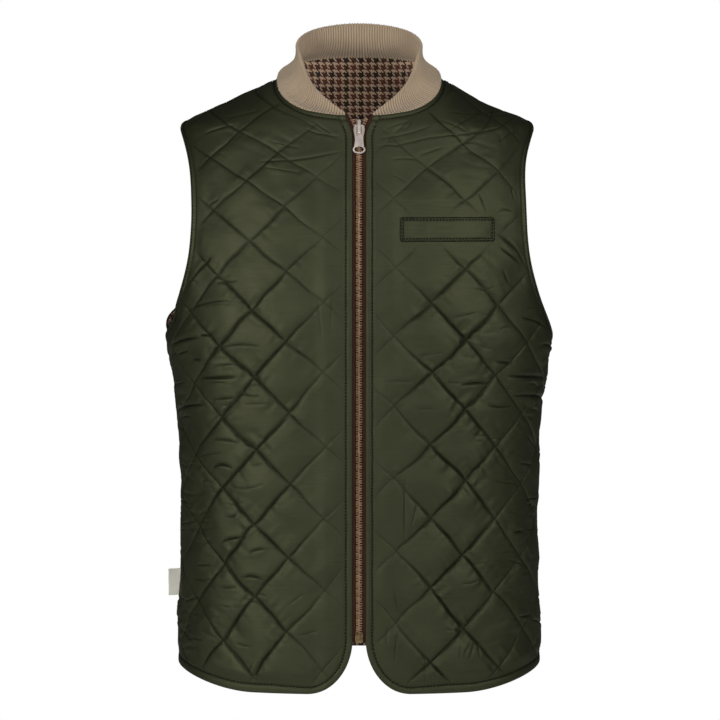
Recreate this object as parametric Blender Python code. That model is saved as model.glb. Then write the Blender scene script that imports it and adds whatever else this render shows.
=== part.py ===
"""Reversible quilted vest, filled out as it is worn: diamond quilting outside, checked cloth inside.

Lengths are in metres. +Z is up, the front faces -Y and the wearer's left is +X. The origin is in the middle
of the neck, level with the top of the shoulder seams, where the wearer's shoulders carry the vest.
"""
import math

import bmesh
import bpy
import numpy as np
from mathutils import Matrix, Vector
from mathutils.geometry import delaunay_2d_cdt

# The body that fills the vest, one row for each level.
# Columns: level, half width, depth in front, depth behind, squareness (2 is an ellipse).
FORM = np.array([
    (-0.6900, 0.2005, 0.1170, 0.1230, 2.30),
    (-0.5800, 0.1975, 0.1200, 0.1150, 2.30),
    (-0.5000, 0.1955, 0.1220, 0.1080, 2.30),
    (-0.4200, 0.1968, 0.1250, 0.1060, 2.35),
    (-0.3600, 0.2005, 0.1280, 0.1110, 2.40),
    (-0.3100, 0.2085, 0.1300, 0.1180, 2.45),
    (-0.2850, 0.2130, 0.1310, 0.1215, 2.45),
    (-0.2400, 0.2090, 0.1310, 0.1265, 2.45),
    (-0.1900, 0.2050, 0.1280, 0.1290, 2.45),
    (-0.1400, 0.2030, 0.1215, 0.1260, 2.40),
    (-0.0950, 0.2012, 0.1090, 0.1165, 2.30),
    (-0.0600, 0.1988, 0.0972, 0.1065, 2.18),
    (-0.0535, 0.1950, 0.0950, 0.1045, 2.15),
    (-0.0500, 0.1888, 0.0936, 0.1035, 2.13),
    (-0.0300, 0.1435, 0.0830, 0.0950, 2.05),
    (-0.0120, 0.1065, 0.0728, 0.0872, 2.00),
    (-0.0035, 0.0890, 0.0680, 0.0840, 2.00),
    (0.0040, 0.0893, 0.0636, 0.0812, 2.00),
    (0.0200, 0.0900, 0.0540, 0.0750, 2.00),
    (0.0320, 0.0850, 0.0470, 0.0690, 2.00),
])
GRAIN_X = 0.080            # the cloth's height is measured up the front at this distance from the middle

# Cut of the panels.
SEAM = 0.0003              # space left between two pieces where they are sewn
NECK_LEVEL = -0.0035       # neck end of the shoulder seam
NECK_HALF = 0.0890
NECK_DROP = 0.0425         # front of the neckline below the shoulder seam
NECK_RISE = 0.0270         # back of the neckline above it
NECK_ROUND = 2.5
SHOULDER_TIP = -0.0535
UNDERARM = -0.2870
ARMHOLE_FRONT = 0.0700
ARMHOLE_BACK = 0.0740
ARMHOLE_LOW = 0.10         # share by which the armhole is fuller low down
SIDE_HEM = -0.6540
FRONT_HEM = -0.6755
HEM_CURVE_FROM = 0.45      # share of the way round at which the hem starts to rise to the side
CORNER_WIDE = 0.0500       # rounded front corners
CORNER_TALL = 0.0620
EDGE_HALF = 0.0070         # half the space between the front edges
EDGE_OPENS = -0.0660       # the fronts part above this level
NECK_SPREAD = 0.0080       # how far each front parts at the neck

# Walls, as distances out from the form.
LINING = 0.0012
LINING_EDGE = 0.0010       # outside of the lining at its edges
LINING_SLACK = 0.0011      # the lining hangs this much looser inside
SHELL_IN = 0.0015
SHELL = 0.0018
EDGE_LIFT = 0.0017         # the shell rises over the zip tape
TAPE_COVER = (0.0330, 0.0500)

# Diamond quilting.
DIAMOND_WIDE = 0.0770
DIAMOND_TALL = 0.0780
QUILT_LEVEL = -0.3650      # level of one row of crossings
PUFF = 0.0062
PUFF_POWER = 0.6
FLAT_RIM = (0.006, 0.024)  # the padding grows between these distances from an edge
POINT_CLEAR = 0.0085       # no inner point comes closer to an edge
FINE_ABOVE = -0.120        # the lining keeps every quilting point above this level
FINE_ARMHOLE = (-0.300, 0.024)  # and, above this level, within this distance of an edge

# Rib collar.
COLLAR_HEIGHT = 0.0390
COLLAR_ENDS = np.array([(0.0, 0.0045), (0.017, 0.015), (0.045, 0.031), (0.075, 0.0375), (0.105, 0.039)])
COLLAR_LEAN = np.array([(0.0, 20.0), (90.0, 34.0), (135.0, 45.0), (180.0, 52.0)])
COLLAR_WALL = 0.0030
COLLAR_SEAT = 0.0025
COLLAR_CLEAR = 0.0017
COLLAR_BOW = 0.0050
COLLAR_EVEN = 0.0900       # the top edge is evened out over this reach to each side
RIB_PITCH = 0.0036
RIB_RAISE = 0.0007

# Zip.
TEETH = (0.00015, 0.0035)
TEETH_THICK = 0.0026
TAPE = (0.0038, 0.0170)
TAPE_THICK = 0.0009
ZIP_MID = 0.00205
ZIP_TOP = -0.0480
BOX_SIZE = (0.0093, 0.0040, 0.0098)
BOX_LEVEL = -0.6135
SLIDER_LEVEL = -0.0635
PLATE = (0.0016, 0.0029)
RAIL_HALF = 0.0017
PULL = (0.0034, 0.0050)
PULL_AXIS_UP = 0.0053      # hinge of the pull above the middle of the slider

# Welt pocket and label.
WELT_ALONG = (0.0440, 0.1500)
WELT_LEVEL = (-0.1820, -0.1550)
WELT_RAISE = (0.0003, 0.0023)
LABEL_LEVEL = (-0.5800, -0.5500)
LABEL_OUT = 0.0130
LABEL_THICK = 0.0012

COLOURS = {
    "shell": (0.055, 0.058, 0.035),
    "lining": (0.22, 0.13, 0.08),
    "rib": (0.52, 0.40, 0.26),
    "tape": (0.12, 0.07, 0.04),
    "brass": (0.62, 0.42, 0.22),
    "slider": (0.62, 0.56, 0.53),
    "label": (0.80, 0.76, 0.66),
}


def smooth_table(knots, values, at):
    """Read a table along a smooth curve that never overshoots its values."""
    step = np.diff(knots)
    slope = np.diff(values) / step
    before, after = slope[:-1], slope[1:]
    same = before * after > 0
    near, far = 2 * step[1:] + step[:-1], step[1:] + 2 * step[:-1]
    inner = (near + far) / (near / np.where(same, before, 1) + far / np.where(same, after, 1))
    tangent = np.concatenate([slope[:1], np.where(same, inner, 0), slope[-1:]])
    at = np.clip(at, knots[0], knots[-1])
    i = np.clip(np.searchsorted(knots, at) - 1, 0, len(step) - 1)
    t = (at - knots[i]) / step[i]
    start = (1 + 2 * t) * (1 - t) ** 2 * values[i] + t * (1 - t) ** 2 * step[i] * tangent[i]
    end = t * t * (3 - 2 * t) * values[i + 1] - t * t * (1 - t) * step[i] * tangent[i + 1]
    return start + end


def fade(low, high, value):
    """0 up to low, 1 from high, smooth between."""
    t = np.clip((np.asarray(value) - low) / (high - low), 0, 1)
    return t * t * (3 - 2 * t)


def section(level):
    """Half width, front depth, back depth and squareness of the form at a level."""
    return [smooth_table(FORM[:, 0], FORM[:, column], level) for column in range(1, 5)]


def form_point(turn, level):
    """Point of the form at a turn round from the centre front and a level."""
    half, front, behind, square = section(level)
    depth = np.where(np.cos(turn) >= 0, front, behind)
    side = (np.abs(np.sin(turn)) / half) ** square
    ahead = (np.abs(np.cos(turn)) / depth) ** square
    reach = (side + ahead) ** (-1 / square)
    return np.stack([reach * np.sin(turn), -reach * np.cos(turn), level + 0 * turn], axis=-1)


def form_normal(turn, level):
    across = form_point(turn + 1e-3, level) - form_point(turn - 1e-3, level)
    up = form_point(turn, level + 5e-4) - form_point(turn, level - 5e-4)
    normal = np.cross(across, up)
    return normal / np.linalg.norm(normal, axis=-1, keepdims=True)


def rounds(level, behind):
    """Turns from the middle of a panel to the side, and the cloth length up to each, level by level."""
    turns = np.linspace(math.pi if behind else 0.0, math.pi / 2, 121)
    points = form_point(turns[None, :], np.atleast_1d(level)[:, None])
    steps = np.linalg.norm(np.diff(points, axis=1), axis=2)
    return turns, np.concatenate([np.zeros((len(steps), 1)), np.cumsum(steps, axis=1)], axis=1)


def side_length(level, behind=False):
    return rounds(level, behind)[1][:, -1]


def turn_at(along, level, behind):
    turns, lengths = rounds(level, behind)
    return np.array([np.interp(a, row, turns) for a, row in zip(along, lengths)])


def along_at(turn, level, behind):
    turns, lengths = rounds(level, behind)
    order = np.argsort(turns)
    return np.array([np.interp(t, turns[order], row[order]) for t, row in zip(turn, lengths)])


def cloth_heights():
    """The cloth's height up the front, measured over the form, for a ladder of levels."""
    levels = np.linspace(FORM[0, 0], FORM[-1, 0], 500)
    half, front, behind, square = section(levels)
    forward = front * (1 - np.minimum(GRAIN_X / half, 0.9) ** square) ** (1 / square)
    steps = np.hypot(np.diff(levels), np.diff(forward))
    return levels, np.concatenate([[0], np.cumsum(steps)])


LEVELS, HEIGHTS = cloth_heights()


def height_of(level):
    return np.interp(level, LEVELS, HEIGHTS)


def level_of(height):
    return np.interp(height, HEIGHTS, LEVELS)


def place(flat, offset, behind=False, side=1):
    """Set flat cloth points (along, up) on the form, a distance out from it."""
    level = level_of(flat[:, 1])
    turn = turn_at(np.abs(flat[:, 0]), level, behind)
    offset = np.broadcast_to(offset, turn.shape)
    points = form_point(turn, level) + form_normal(turn, level) * offset[:, None]
    points[:, 0] *= side * np.where(flat[:, 0] < 0, -1, 1)
    return points


def spread(level):
    """How far the front edge and its half of the zip have parted at a level."""
    share = np.clip((np.asarray(level) - EDGE_OPENS) / (NECK_LEVEL - NECK_DROP - EDGE_OPENS), 0, 1.1)
    return NECK_SPREAD * share ** 1.3


def turn_through(level, behind, across=None, forward=None):
    """Turn at which the form has a given x, or a given distance in front or behind."""
    half, front, back, square = section(level)
    depth = back if behind else front
    if forward is None:
        forward = depth * np.clip(1 - (across / half) ** square, 0, 1) ** (1 / square)
    else:
        across = half * np.clip(1 - (forward / depth) ** square, 0, 1) ** (1 / square)
    return np.arctan2(across, -forward if behind else forward)


def neckline(across, behind):
    """Level of the neckline at a distance from the middle."""
    share = np.clip(1 - (across / NECK_HALF) ** NECK_ROUND, 0, 1) ** (1 / NECK_ROUND)
    return NECK_LEVEL + (NECK_RISE if behind else -NECK_DROP) * share


def neck_edge(behind, inner):
    """Neckline from a distance from the middle out to the shoulder seam, as (along, level)."""
    lean = np.linspace(math.asin((inner / NECK_HALF) ** (NECK_ROUND / 2)), math.pi / 2, 400)
    lean = lean if behind else math.pi - lean
    seat = neck_ring(lean)[0]
    length = np.concatenate([[0], np.cumsum(np.linalg.norm(np.diff(seat, axis=0), axis=1))])
    lean = np.interp(np.linspace(0, length[-1], 15), length, lean)
    across = NECK_HALF * np.sin(lean) ** (2 / NECK_ROUND)
    level = neckline(across, behind)
    along = along_at(turn_through(level, behind, across=across), level, behind)
    along[-1] -= SEAM / 2
    return np.column_stack([along, level])


def shoulder_edge(behind):
    level = np.linspace(NECK_LEVEL, SHOULDER_TIP, 8)[1:]
    return np.column_stack([side_length(level, behind) - SEAM / 2, level])


def armhole_edge(behind):
    lean = np.linspace(0, math.pi, 18)[1:]
    middle, reach = (SHOULDER_TIP + UNDERARM) / 2, (SHOULDER_TIP - UNDERARM) / 2
    level = middle + reach * np.cos(lean)
    depth = ARMHOLE_BACK if behind else ARMHOLE_FRONT
    forward = depth * np.sin(lean) * (1 - ARMHOLE_LOW * np.cos(lean))
    along = along_at(turn_through(level, behind, forward=forward), level, behind)
    along[-1] -= SEAM / 2
    return np.column_stack([along, level])


def side_edge(behind):
    level = np.linspace(UNDERARM, SIDE_HEM, 20)[1:]
    return np.column_stack([side_length(level, behind) - SEAM / 2, level])


def to_cloth(edge):
    return np.column_stack([edge[:, 0], height_of(edge[:, 1])])


def front_outline():
    """Cut of one front, from the foot of its front edge up and round, as flat cloth points."""
    corner_level = FRONT_HEM + CORNER_TALL
    neck = neck_edge(False, EDGE_HALF + NECK_SPREAD)
    level = np.concatenate([np.linspace(corner_level, EDGE_OPENS, 30), np.linspace(EDGE_OPENS, neck[0, 1], 4)[1:-1]])
    edge = np.column_stack([EDGE_HALF + spread(level), level])
    share = np.linspace(1, 0, 12)[1:]
    reach = side_length(np.full(len(share), SIDE_HEM))
    along = EDGE_HALF + CORNER_WIDE + (reach - EDGE_HALF - CORNER_WIDE) * share
    rise = fade(0, 1, (along / reach - HEM_CURVE_FROM) / (1 - HEM_CURVE_FROM))
    hem = np.column_stack([along, FRONT_HEM + (SIDE_HEM - FRONT_HEM) * rise])
    lean = np.linspace(math.pi / 2, 0, 7)[1:-1]
    corner = np.column_stack([EDGE_HALF + CORNER_WIDE * (1 - np.cos(lean)), corner_level - CORNER_TALL * np.sin(lean)])
    parts = [edge, neck, shoulder_edge(False), armhole_edge(False), side_edge(False), hem, corner]
    return to_cloth(np.concatenate(parts))


def back_outline():
    """Cut of the back, from the middle of the neck round its right side and mirrored, as flat cloth points."""
    share = np.linspace(1, 0, 14)[1:]
    reach = side_length(np.full(len(share), SIDE_HEM), True)
    hem = np.column_stack([reach * share, np.full(len(share), SIDE_HEM)])
    neck = neck_edge(True, 0.0)
    right = np.concatenate([neck, shoulder_edge(True), armhole_edge(True), side_edge(True), hem])
    left = right[1:-1][::-1] * (-1, 1)
    return to_cloth(np.concatenate([right, left]))[::-1]


def edge_distance(points, outline):
    """Distance of each flat point from the outline."""
    start, end = outline, np.roll(outline, -1, axis=0)
    run = end - start
    away = points[:, None, :] - start[None, :, :]
    share = np.clip((away * run).sum(2) / (run * run).sum(1), 0, 1)
    return np.linalg.norm(away - share[:, :, None] * run, axis=2).min(axis=1)


def inside(points, outline):
    """Which flat points lie inside the outline, by crossings of a line to the right."""
    x, y = points[:, 0][:, None], points[:, 1][:, None]
    x0, y0 = outline.T
    x1, y1 = np.roll(outline, -1, axis=0).T
    crosses = (y0 > y) != (y1 > y)
    reach = x0 + (y - y0) * (x1 - x0) / np.where(y1 == y0, 1e-12, y1 - y0)
    return (crosses & (x < reach)).sum(axis=1) % 2 == 1


def quilt_points(outline, phase, keep):
    """Quarter points of the diamonds inside an outline, with the quilting lines between them."""
    low, high = outline.min(axis=0), outline.max(axis=0)
    across = np.arange(math.floor(low[0] * 4 / DIAMOND_WIDE), math.ceil(high[0] * 4 / DIAMOND_WIDE) + 1)
    up = np.arange(math.floor((low[1] - phase) * 4 / DIAMOND_TALL), math.ceil((high[1] - phase) * 4 / DIAMOND_TALL) + 1)
    cells = np.array([(m, q) for m in across for q in up])
    flat = np.column_stack([cells[:, 0] * DIAMOND_WIDE / 4, phase + cells[:, 1] * DIAMOND_TALL / 4])
    used = keep(cells, flat) & inside(flat, outline) & (edge_distance(flat, outline) > POINT_CLEAR)
    cells, flat = cells[used], flat[used]
    index = {tuple(cell): i for i, cell in enumerate(cells)}
    lines = []
    for (m, q), i in index.items():
        if (m + q) % 4 == 0 and (m + 1, q - 1) in index:
            lines.append((i, index[m + 1, q - 1]))
        if (m - q) % 4 == 0 and (m + 1, q + 1) in index:
            lines.append((i, index[m + 1, q + 1]))
    return flat, lines


def cut_cloth(outline, points, lines):
    """Flat triangles that fill an outline through inner points and lines."""
    first = len(outline)
    flat = [Vector(p) for p in np.concatenate([outline, points])]
    edges = [(first + a, first + b) for a, b in lines]
    made = delaunay_2d_cdt(flat, edges, [list(range(first))], 1, 1e-7)
    return np.array([tuple(v) for v in made[0]]), [tuple(f) for f in made[2]]


def padding(flat, outline, phase, flat_patch):
    """How far the padding stands out between the quilting lines."""
    rising = flat[:, 0] / DIAMOND_WIDE + (flat[:, 1] - phase) / DIAMOND_TALL
    falling = flat[:, 0] / DIAMOND_WIDE - (flat[:, 1] - phase) / DIAMOND_TALL
    pillow = np.abs(np.sin(math.pi * rising) * np.sin(math.pi * falling)) ** PUFF_POWER
    soft = fade(*FLAT_RIM, edge_distance(flat, outline))
    if flat_patch is not None:
        away = np.where(inside(flat, flat_patch), 0, edge_distance(flat, flat_patch))
        soft = soft * fade(0.001, 0.018, away)
    return PUFF * pillow * soft


def add_object(name, mesh, colour, home):
    piece = bpy.data.objects.new(name, mesh)
    home.objects.link(piece)
    if colour is not None:
        look = bpy.data.materials.new(name)
        look.use_nodes = True
        look.node_tree.nodes["Principled BSDF"].inputs["Base Color"].default_value = (*COLOURS[colour], 1)
        look.node_tree.nodes["Principled BSDF"].inputs["Roughness"].default_value = 0.6
        mesh.materials.append(look)
    return piece


def wall(name, faces, inner, outer, colour):
    """A cloth wall: the inner face extruded, and the extruded face set on the outer points."""
    made = bmesh.new()
    number = made.verts.layers.int.new("number")
    for i, point in enumerate(inner):
        made.verts.new(point)[number] = i
    made.verts.ensure_lookup_table()
    for face in faces:
        made.faces.new([made.verts[i] for i in face])
    grown = bmesh.ops.extrude_face_region(made, geom=made.faces[:], use_keep_orig=True)["geom"]
    for item in grown:
        if isinstance(item, bmesh.types.BMVert):
            item.co = outer[item[number]]
    bmesh.ops.recalc_face_normals(made, faces=made.faces[:])
    bmesh.ops.triangulate(made, faces=made.faces[:])
    mesh = bpy.data.meshes.new(name)
    made.to_mesh(mesh)
    made.free()
    return add_object(name, mesh, colour, PARTS)


def grid_faces(rows, columns):
    """Faces of a grid whose points run column by column along each row."""
    corner = [(r * columns + c) for r in range(rows - 1) for c in range(columns - 1)]
    return [(i, i + 1, i + columns + 1, i + columns) for i in corner]


def shell_panel(name, outline, phase, behind, side, patch=None):
    """One quilted panel, and the flat points, faces and outside that pieces on it are made from."""
    points, lines = quilt_points(outline, phase, lambda cells, flat: clear_of(flat, patch))
    if patch is not None:
        first = len(points)
        points = np.concatenate([points, patch["points"]])
        lines = lines + [(first + a, first + b) for a, b in patch["lines"]]
    flat, faces = cut_cloth(outline, points, lines)
    level = level_of(flat[:, 1])
    lift = 0 if behind else EDGE_LIFT * (1 - fade(*TAPE_COVER, np.abs(flat[:, 0]) - spread(level)))
    low = SHELL_IN + lift
    high = low + SHELL + padding(flat, outline, phase, None if patch is None else patch["outline"])
    wall(name, faces, place(flat, low, behind, side), place(flat, high, behind, side), "shell")
    return flat, faces, high


def clear_of(flat, patch):
    if patch is None:
        return np.full(len(flat), True)
    away = edge_distance(flat, patch["outline"])
    return ~inside(flat, patch["outline"]) & (away > POINT_CLEAR)


def lining_panel(name, outline, phase, behind, side):
    """The checked inside of one panel, on every other quilting point."""
    def keep(cells, flat):
        level = level_of(flat[:, 1])
        armhole = (level > FINE_ARMHOLE[0]) & (edge_distance(flat, outline) < FINE_ARMHOLE[1])
        return (cells % 2 == 0).all(axis=1) | (level > FINE_ABOVE) | armhole

    points, lines = quilt_points(outline, phase, keep)
    flat, faces = cut_cloth(outline, points, lines)
    high = LINING_EDGE - LINING_SLACK * fade(0, 0.02, edge_distance(flat, outline))
    wall(name, faces, place(flat, high - LINING, behind, side), place(flat, high, behind, side), "lining")


def welt_patch():
    """Grid of the welt on the flat cloth."""
    along = np.linspace(*WELT_ALONG, 7)
    up = np.linspace(*height_of(np.array(WELT_LEVEL)), 3)
    points = np.array([(a, v) for v in up for a in along])
    count = len(along)
    ring = [*range(count), 2 * count - 1, *range(3 * count - 1, 2 * count - 1, -1), count]
    lines = list(zip(ring, ring[1:] + ring[:1]))
    return {"points": points, "lines": lines, "outline": points[ring]}


def chest_welt(flat, faces, high, patch):
    """The welt, made from the panel's own points under it, moved out."""
    middles = np.array([flat[list(face)].mean(axis=0) for face in faces])
    under = [faces[i] for i in np.flatnonzero(inside(middles, patch["outline"]))]
    used = sorted({i for face in under for i in face})
    number = {i: n for n, i in enumerate(used)}
    under = [tuple(number[i] for i in face) for face in under]
    low, top = (high[used] + raise_by for raise_by in WELT_RAISE)
    wall("chest_welt", under, place(flat[used], low), place(flat[used], top), "shell")


def collar_rib():
    """The rib band from the right front end round the back to the left front end."""
    end = math.pi - math.asin(((EDGE_HALF + NECK_SPREAD) / NECK_HALF) ** (NECK_ROUND / 2))
    lean = np.linspace(-end, end, 1601)
    seat, out = neck_ring(lean)
    length = np.concatenate([[0], np.cumsum(np.linalg.norm(np.diff(seat, axis=0), axis=1))])
    columns = 2 * round(length[-1] / RIB_PITCH) + 1
    even = np.linspace(0, length[-1], columns)
    lean = np.interp(even, length, lean)
    seat, out = neck_ring(lean)
    plan = np.gradient(seat[:, :2], axis=0)
    away = np.column_stack([plan[:, 1], -plan[:, 0], np.zeros(columns)])
    away /= np.linalg.norm(away, axis=1, keepdims=True)
    away *= np.sign((away * seat).sum(axis=1))[:, None]
    tilt = np.radians(smooth_table(COLLAR_LEAN[:, 0], COLLAR_LEAN[:, 1], np.degrees(np.abs(lean))))[:, None]
    rise = np.array([0, 0, 1]) * np.cos(tilt) - away * np.sin(tilt)
    face = np.array([0, 0, 1]) * np.sin(tilt) + away * np.cos(tilt)
    tall = smooth_table(COLLAR_ENDS[:, 0], COLLAR_ENDS[:, 1], np.minimum(even, length[-1] - even))[:, None]
    rib = np.where(np.arange(columns) % 2 == 0, 0, RIB_RAISE)[:, None]
    foot = seat + out * COLLAR_SEAT + rise * COLLAR_CLEAR
    top = evened(foot + rise * tall, round(COLLAR_EVEN / RIB_PITCH))
    inner, outer = [], []
    for share in (0.0, 0.5, 1.0):
        bow = COLLAR_BOW * 4 * share * (1 - share) * tall / COLLAR_HEIGHT
        middle = foot + (top - foot) * share - face * bow
        inner.append(middle - face * (COLLAR_WALL / 2 + rib))
        outer.append(middle + face * (COLLAR_WALL / 2 + rib))
    wall("collar_rib", grid_faces(3, columns), np.concatenate(inner), np.concatenate(outer), "rib")


def evened(points, reach):
    """Points along a line, each evened out over its neighbours, with both ends kept."""
    weight = np.hanning(2 * reach + 3)[1:-1]
    ahead = 2 * points[0] - points[reach:0:-1]
    beyond = 2 * points[-1] - points[-2:-reach - 2:-1]
    long = np.concatenate([ahead, points, beyond])
    return np.column_stack([np.convolve(row, weight / weight.sum(), "valid") for row in long.T])


def neck_ring(lean):
    """Neckline points round the neck from the centre back, with the form's outward direction at each."""
    across = NECK_HALF * np.abs(np.sin(lean)) ** (2 / NECK_ROUND)
    behind = np.cos(lean) >= 0
    share = np.abs(np.cos(lean)) ** (2 / NECK_ROUND)
    level = NECK_LEVEL + np.where(behind, NECK_RISE, -NECK_DROP) * share
    turn = np.where(behind, turn_through(level, True, across=across), turn_through(level, False, across=across))
    side = np.where(lean < 0, -1, 1)[:, None] * [1, 0, 0] + [0, 1, 1]
    return form_point(turn, level) * side, form_normal(turn, level) * side


def zip_strip(name, levels, edges, thick, colour, side):
    """A strip of the zip along one front edge; edges gives its two sides at a level."""
    sides = np.array([edges(level) for level in levels])
    flat = np.column_stack([sides.ravel(), np.repeat(height_of(levels), 2)])
    low, high = ZIP_MID - thick / 2, ZIP_MID + thick / 2
    wall(name, grid_faces(len(levels), 2), place(flat, low, side=side), place(flat, high, side=side), colour)


def zip_halves():
    box_top = BOX_LEVEL + BOX_SIZE[2] / 2 + SEAM
    opening = np.linspace(EDGE_OPENS, ZIP_TOP, 8)
    rows = np.concatenate([np.linspace(box_top, EDGE_OPENS, 34)[:-1], opening])
    foot = np.array([BOX_LEVEL - BOX_SIZE[2] / 2, box_top - 0.0006])

    def tape_edges(level):
        inner = TAPE[0] if level >= box_top else BOX_SIZE[0] / 2 + SEAM
        return inner + spread(level), TAPE[1] + spread(level)

    for word, side in (("right", -1), ("left", 1)):
        zip_strip("zip_chain_" + word, rows, lambda z: np.array(TEETH) + spread(z), TEETH_THICK, "brass", side)
        zip_strip("zip_tape_" + word, np.concatenate([foot, rows]), tape_edges, TAPE_THICK, "tape", side)


def zip_frame(level):
    """Frame on the middle of the zip: x to the wearer's left, -y out of the cloth, z up the zip."""
    point = form_point(0.0, level) + form_normal(0.0, level) * ZIP_MID
    out = Vector(form_normal(0.0, level))
    right = Vector((1, 0, 0))
    up = out.cross(right)
    turn = Matrix((right, -out, up)).transposed().to_4x4()
    return Matrix.Translation(point) @ turn


def plate(name, outline, axis, low, high, home, colour=None):
    """A flat outline extruded along one axis between two positions."""
    made = bmesh.new()
    spots = [np.insert(np.array(p, float), axis, low) for p in outline]
    face = made.faces.new([made.verts.new(s) for s in spots])
    shift = np.insert(np.zeros(2), axis, high - low)
    grown = bmesh.ops.extrude_face_region(made, geom=[face], use_keep_orig=True)["geom"]
    bmesh.ops.translate(made, verts=[g for g in grown if isinstance(g, bmesh.types.BMVert)], vec=shift)
    bmesh.ops.recalc_face_normals(made, faces=made.faces[:])
    mesh = bpy.data.meshes.new(name)
    made.to_mesh(mesh)
    made.free()
    return add_object(name, mesh, colour, home)


def mirrored(half):
    """A closed outline from its right half, listed from the top down."""
    return [*half, *[(-x, z) for x, z in reversed(half)]]


def combine(target, helper, operation):
    helper.hide_render = True
    helper.display_type = "WIRE"
    change = target.modifiers.new(helper.name, "BOOLEAN")
    change.operation = operation
    change.object = helper
    change.solver = "EXACT"


def zip_slider():
    """Two plates joined by a post, with a rail that wraps over the top so the pull can hang on either face."""
    shape = mirrored([(0.0050, 0.0082), (0.0060, 0.0050), (0.0060, 0.0010), (0.0044, -0.0075), (0.0036, -0.0082)])
    frame = zip_frame(SLIDER_LEVEL)
    body = plate("zip_slider", shape, 1, -PLATE[1], -PLATE[0], PARTS, "slider")
    post = [(-0.0012, 0.0050), (0.0012, 0.0050), (0.0012, 0.0080), (-0.0012, 0.0080)]
    outer = [(0.0028, -0.0036), (0.0060, -0.0036), (0.0069, -0.0026), (0.0069, 0.0116), (0.0052, 0.0132)]
    inner = [(0.0048, 0.0116), (0.0055, 0.0109), (0.0055, -0.0016), (0.0050, -0.0020), (0.0028, -0.0020)]
    outer = outer + [(-n, t) for n, t in reversed(outer)]
    inner = [(-n, t) for n, t in reversed(inner)] + inner
    helpers = [
        plate("slider_back_plate", shape, 1, PLATE[0], PLATE[1], CUTTERS),
        plate("slider_post", post, 1, -PLATE[0] - 0.0001, PLATE[0] + 0.0001, CUTTERS),
        plate("slider_rail", [(-n, t) for n, t in outer + inner], 0, -RAIL_HALF, RAIL_HALF, CUTTERS),
    ]
    for piece in [body, *helpers]:
        piece.matrix_world = frame
    for helper in (helpers[1], helpers[0], helpers[2]):
        combine(body, helper, "UNION")


def oval(half_wide, half_tall, middle, count):
    lean = np.linspace(0, 2 * math.pi, count, endpoint=False)
    return [(half_wide * math.sin(t), middle + half_tall * math.cos(t)) for t in lean]


def zip_pull():
    """The pull tab: a slotted head on the rail, a neck and an oval finger ring."""
    axis = PULL_AXIS_UP
    half = [(0.0044, 0.0008), (0.0046, -0.0090), (0.0045, -0.0165), (0.0052, -0.0222)]
    shape = mirrored(half)
    frame = zip_frame(SLIDER_LEVEL) @ Matrix.Translation((0, 0, axis))
    low, high = -PULL[1], -PULL[0]
    body = plate("zip_pull", shape, 1, low, high, PARTS, "slider")
    slot = [(-0.0027, -0.0008), (0.0027, -0.0008), (0.0027, -0.0118), (-0.0027, -0.0118)]
    helpers = [
        plate("pull_ring", oval(0.0069, 0.0049, -0.0262, 28), 1, low, high, CUTTERS),
        plate("pull_ring_hole", oval(0.0051, 0.0033, -0.0262, 24), 1, low - 0.001, high + 0.001, CUTTERS),
        plate("pull_slot", slot, 1, low - 0.001, high + 0.001, CUTTERS),
    ]
    for piece in [body, *helpers]:
        piece.matrix_world = frame
    combine(body, helpers[0], "UNION")
    combine(body, helpers[1], "DIFFERENCE")
    combine(body, helpers[2], "DIFFERENCE")


def zip_box():
    wide, deep, tall = BOX_SIZE
    bevel = 0.0008
    half = [(wide / 2 - bevel, tall / 2), (wide / 2, tall / 2 - bevel), (wide / 2, bevel - tall / 2)]
    half.append((wide / 2 - bevel, -tall / 2))
    box = plate("zip_box", mirrored(half), 1, -deep / 2, deep / 2, PARTS, "brass")
    box.matrix_world = zip_frame(BOX_LEVEL)


def side_label():
    """A small folded tab that stands out of the side seam on the wearer's right."""
    level = np.linspace(*LABEL_LEVEL, 2)
    root = section(level)[0].max() + SHELL_IN + SHELL + SEAM
    shape = [(-root, level[0]), (-root, level[1]), (-root - LABEL_OUT, level[1]), (-root - LABEL_OUT, level[0])]
    plate("side_label", shape, 1, -LABEL_THICK / 2, LABEL_THICK / 2, PARTS, "label")


for old in list(bpy.data.objects):
    bpy.data.objects.remove(old)
PARTS = bpy.data.collections.new("Reversible vest")
CUTTERS = bpy.data.collections.new("Cutters")
for home in (PARTS, CUTTERS):
    bpy.context.scene.collection.children.link(home)

front, back = front_outline(), back_outline()
right_phase = float(height_of(QUILT_LEVEL))
left_phase = right_phase + DIAMOND_TALL / 2
welt = welt_patch()
shell_panel("front_right", front, right_phase, False, -1)
chest_welt(*shell_panel("front_left", front, left_phase, False, 1, welt), welt)
shell_panel("back", back, right_phase, True, 1)
lining_panel("lining_front_right", front, right_phase, False, -1)
lining_panel("lining_front_left", front, left_phase, False, 1)
lining_panel("lining_back", back, right_phase, True, 1)
collar_rib()
zip_halves()
zip_slider()
zip_pull()
zip_box()
side_label()
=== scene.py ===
# %% [markdown]
# # A reversible quilted vest
# The part is a sleeveless zip vest, filled out as if somebody wore it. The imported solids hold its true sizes.
# This lesson dresses them: it cuts each panel flat, as a tailor would, sews it onto the body that fills the
# vest, and gives every cloth, thread and metal its own finish.

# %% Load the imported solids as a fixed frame
import math

import bpy
import numpy as np
from mathutils import Matrix, Vector
from mathutils.bvhtree import BVHTree
from mathutils.geometry import delaunay_2d_cdt
from mathutils.kdtree import KDTree


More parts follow.
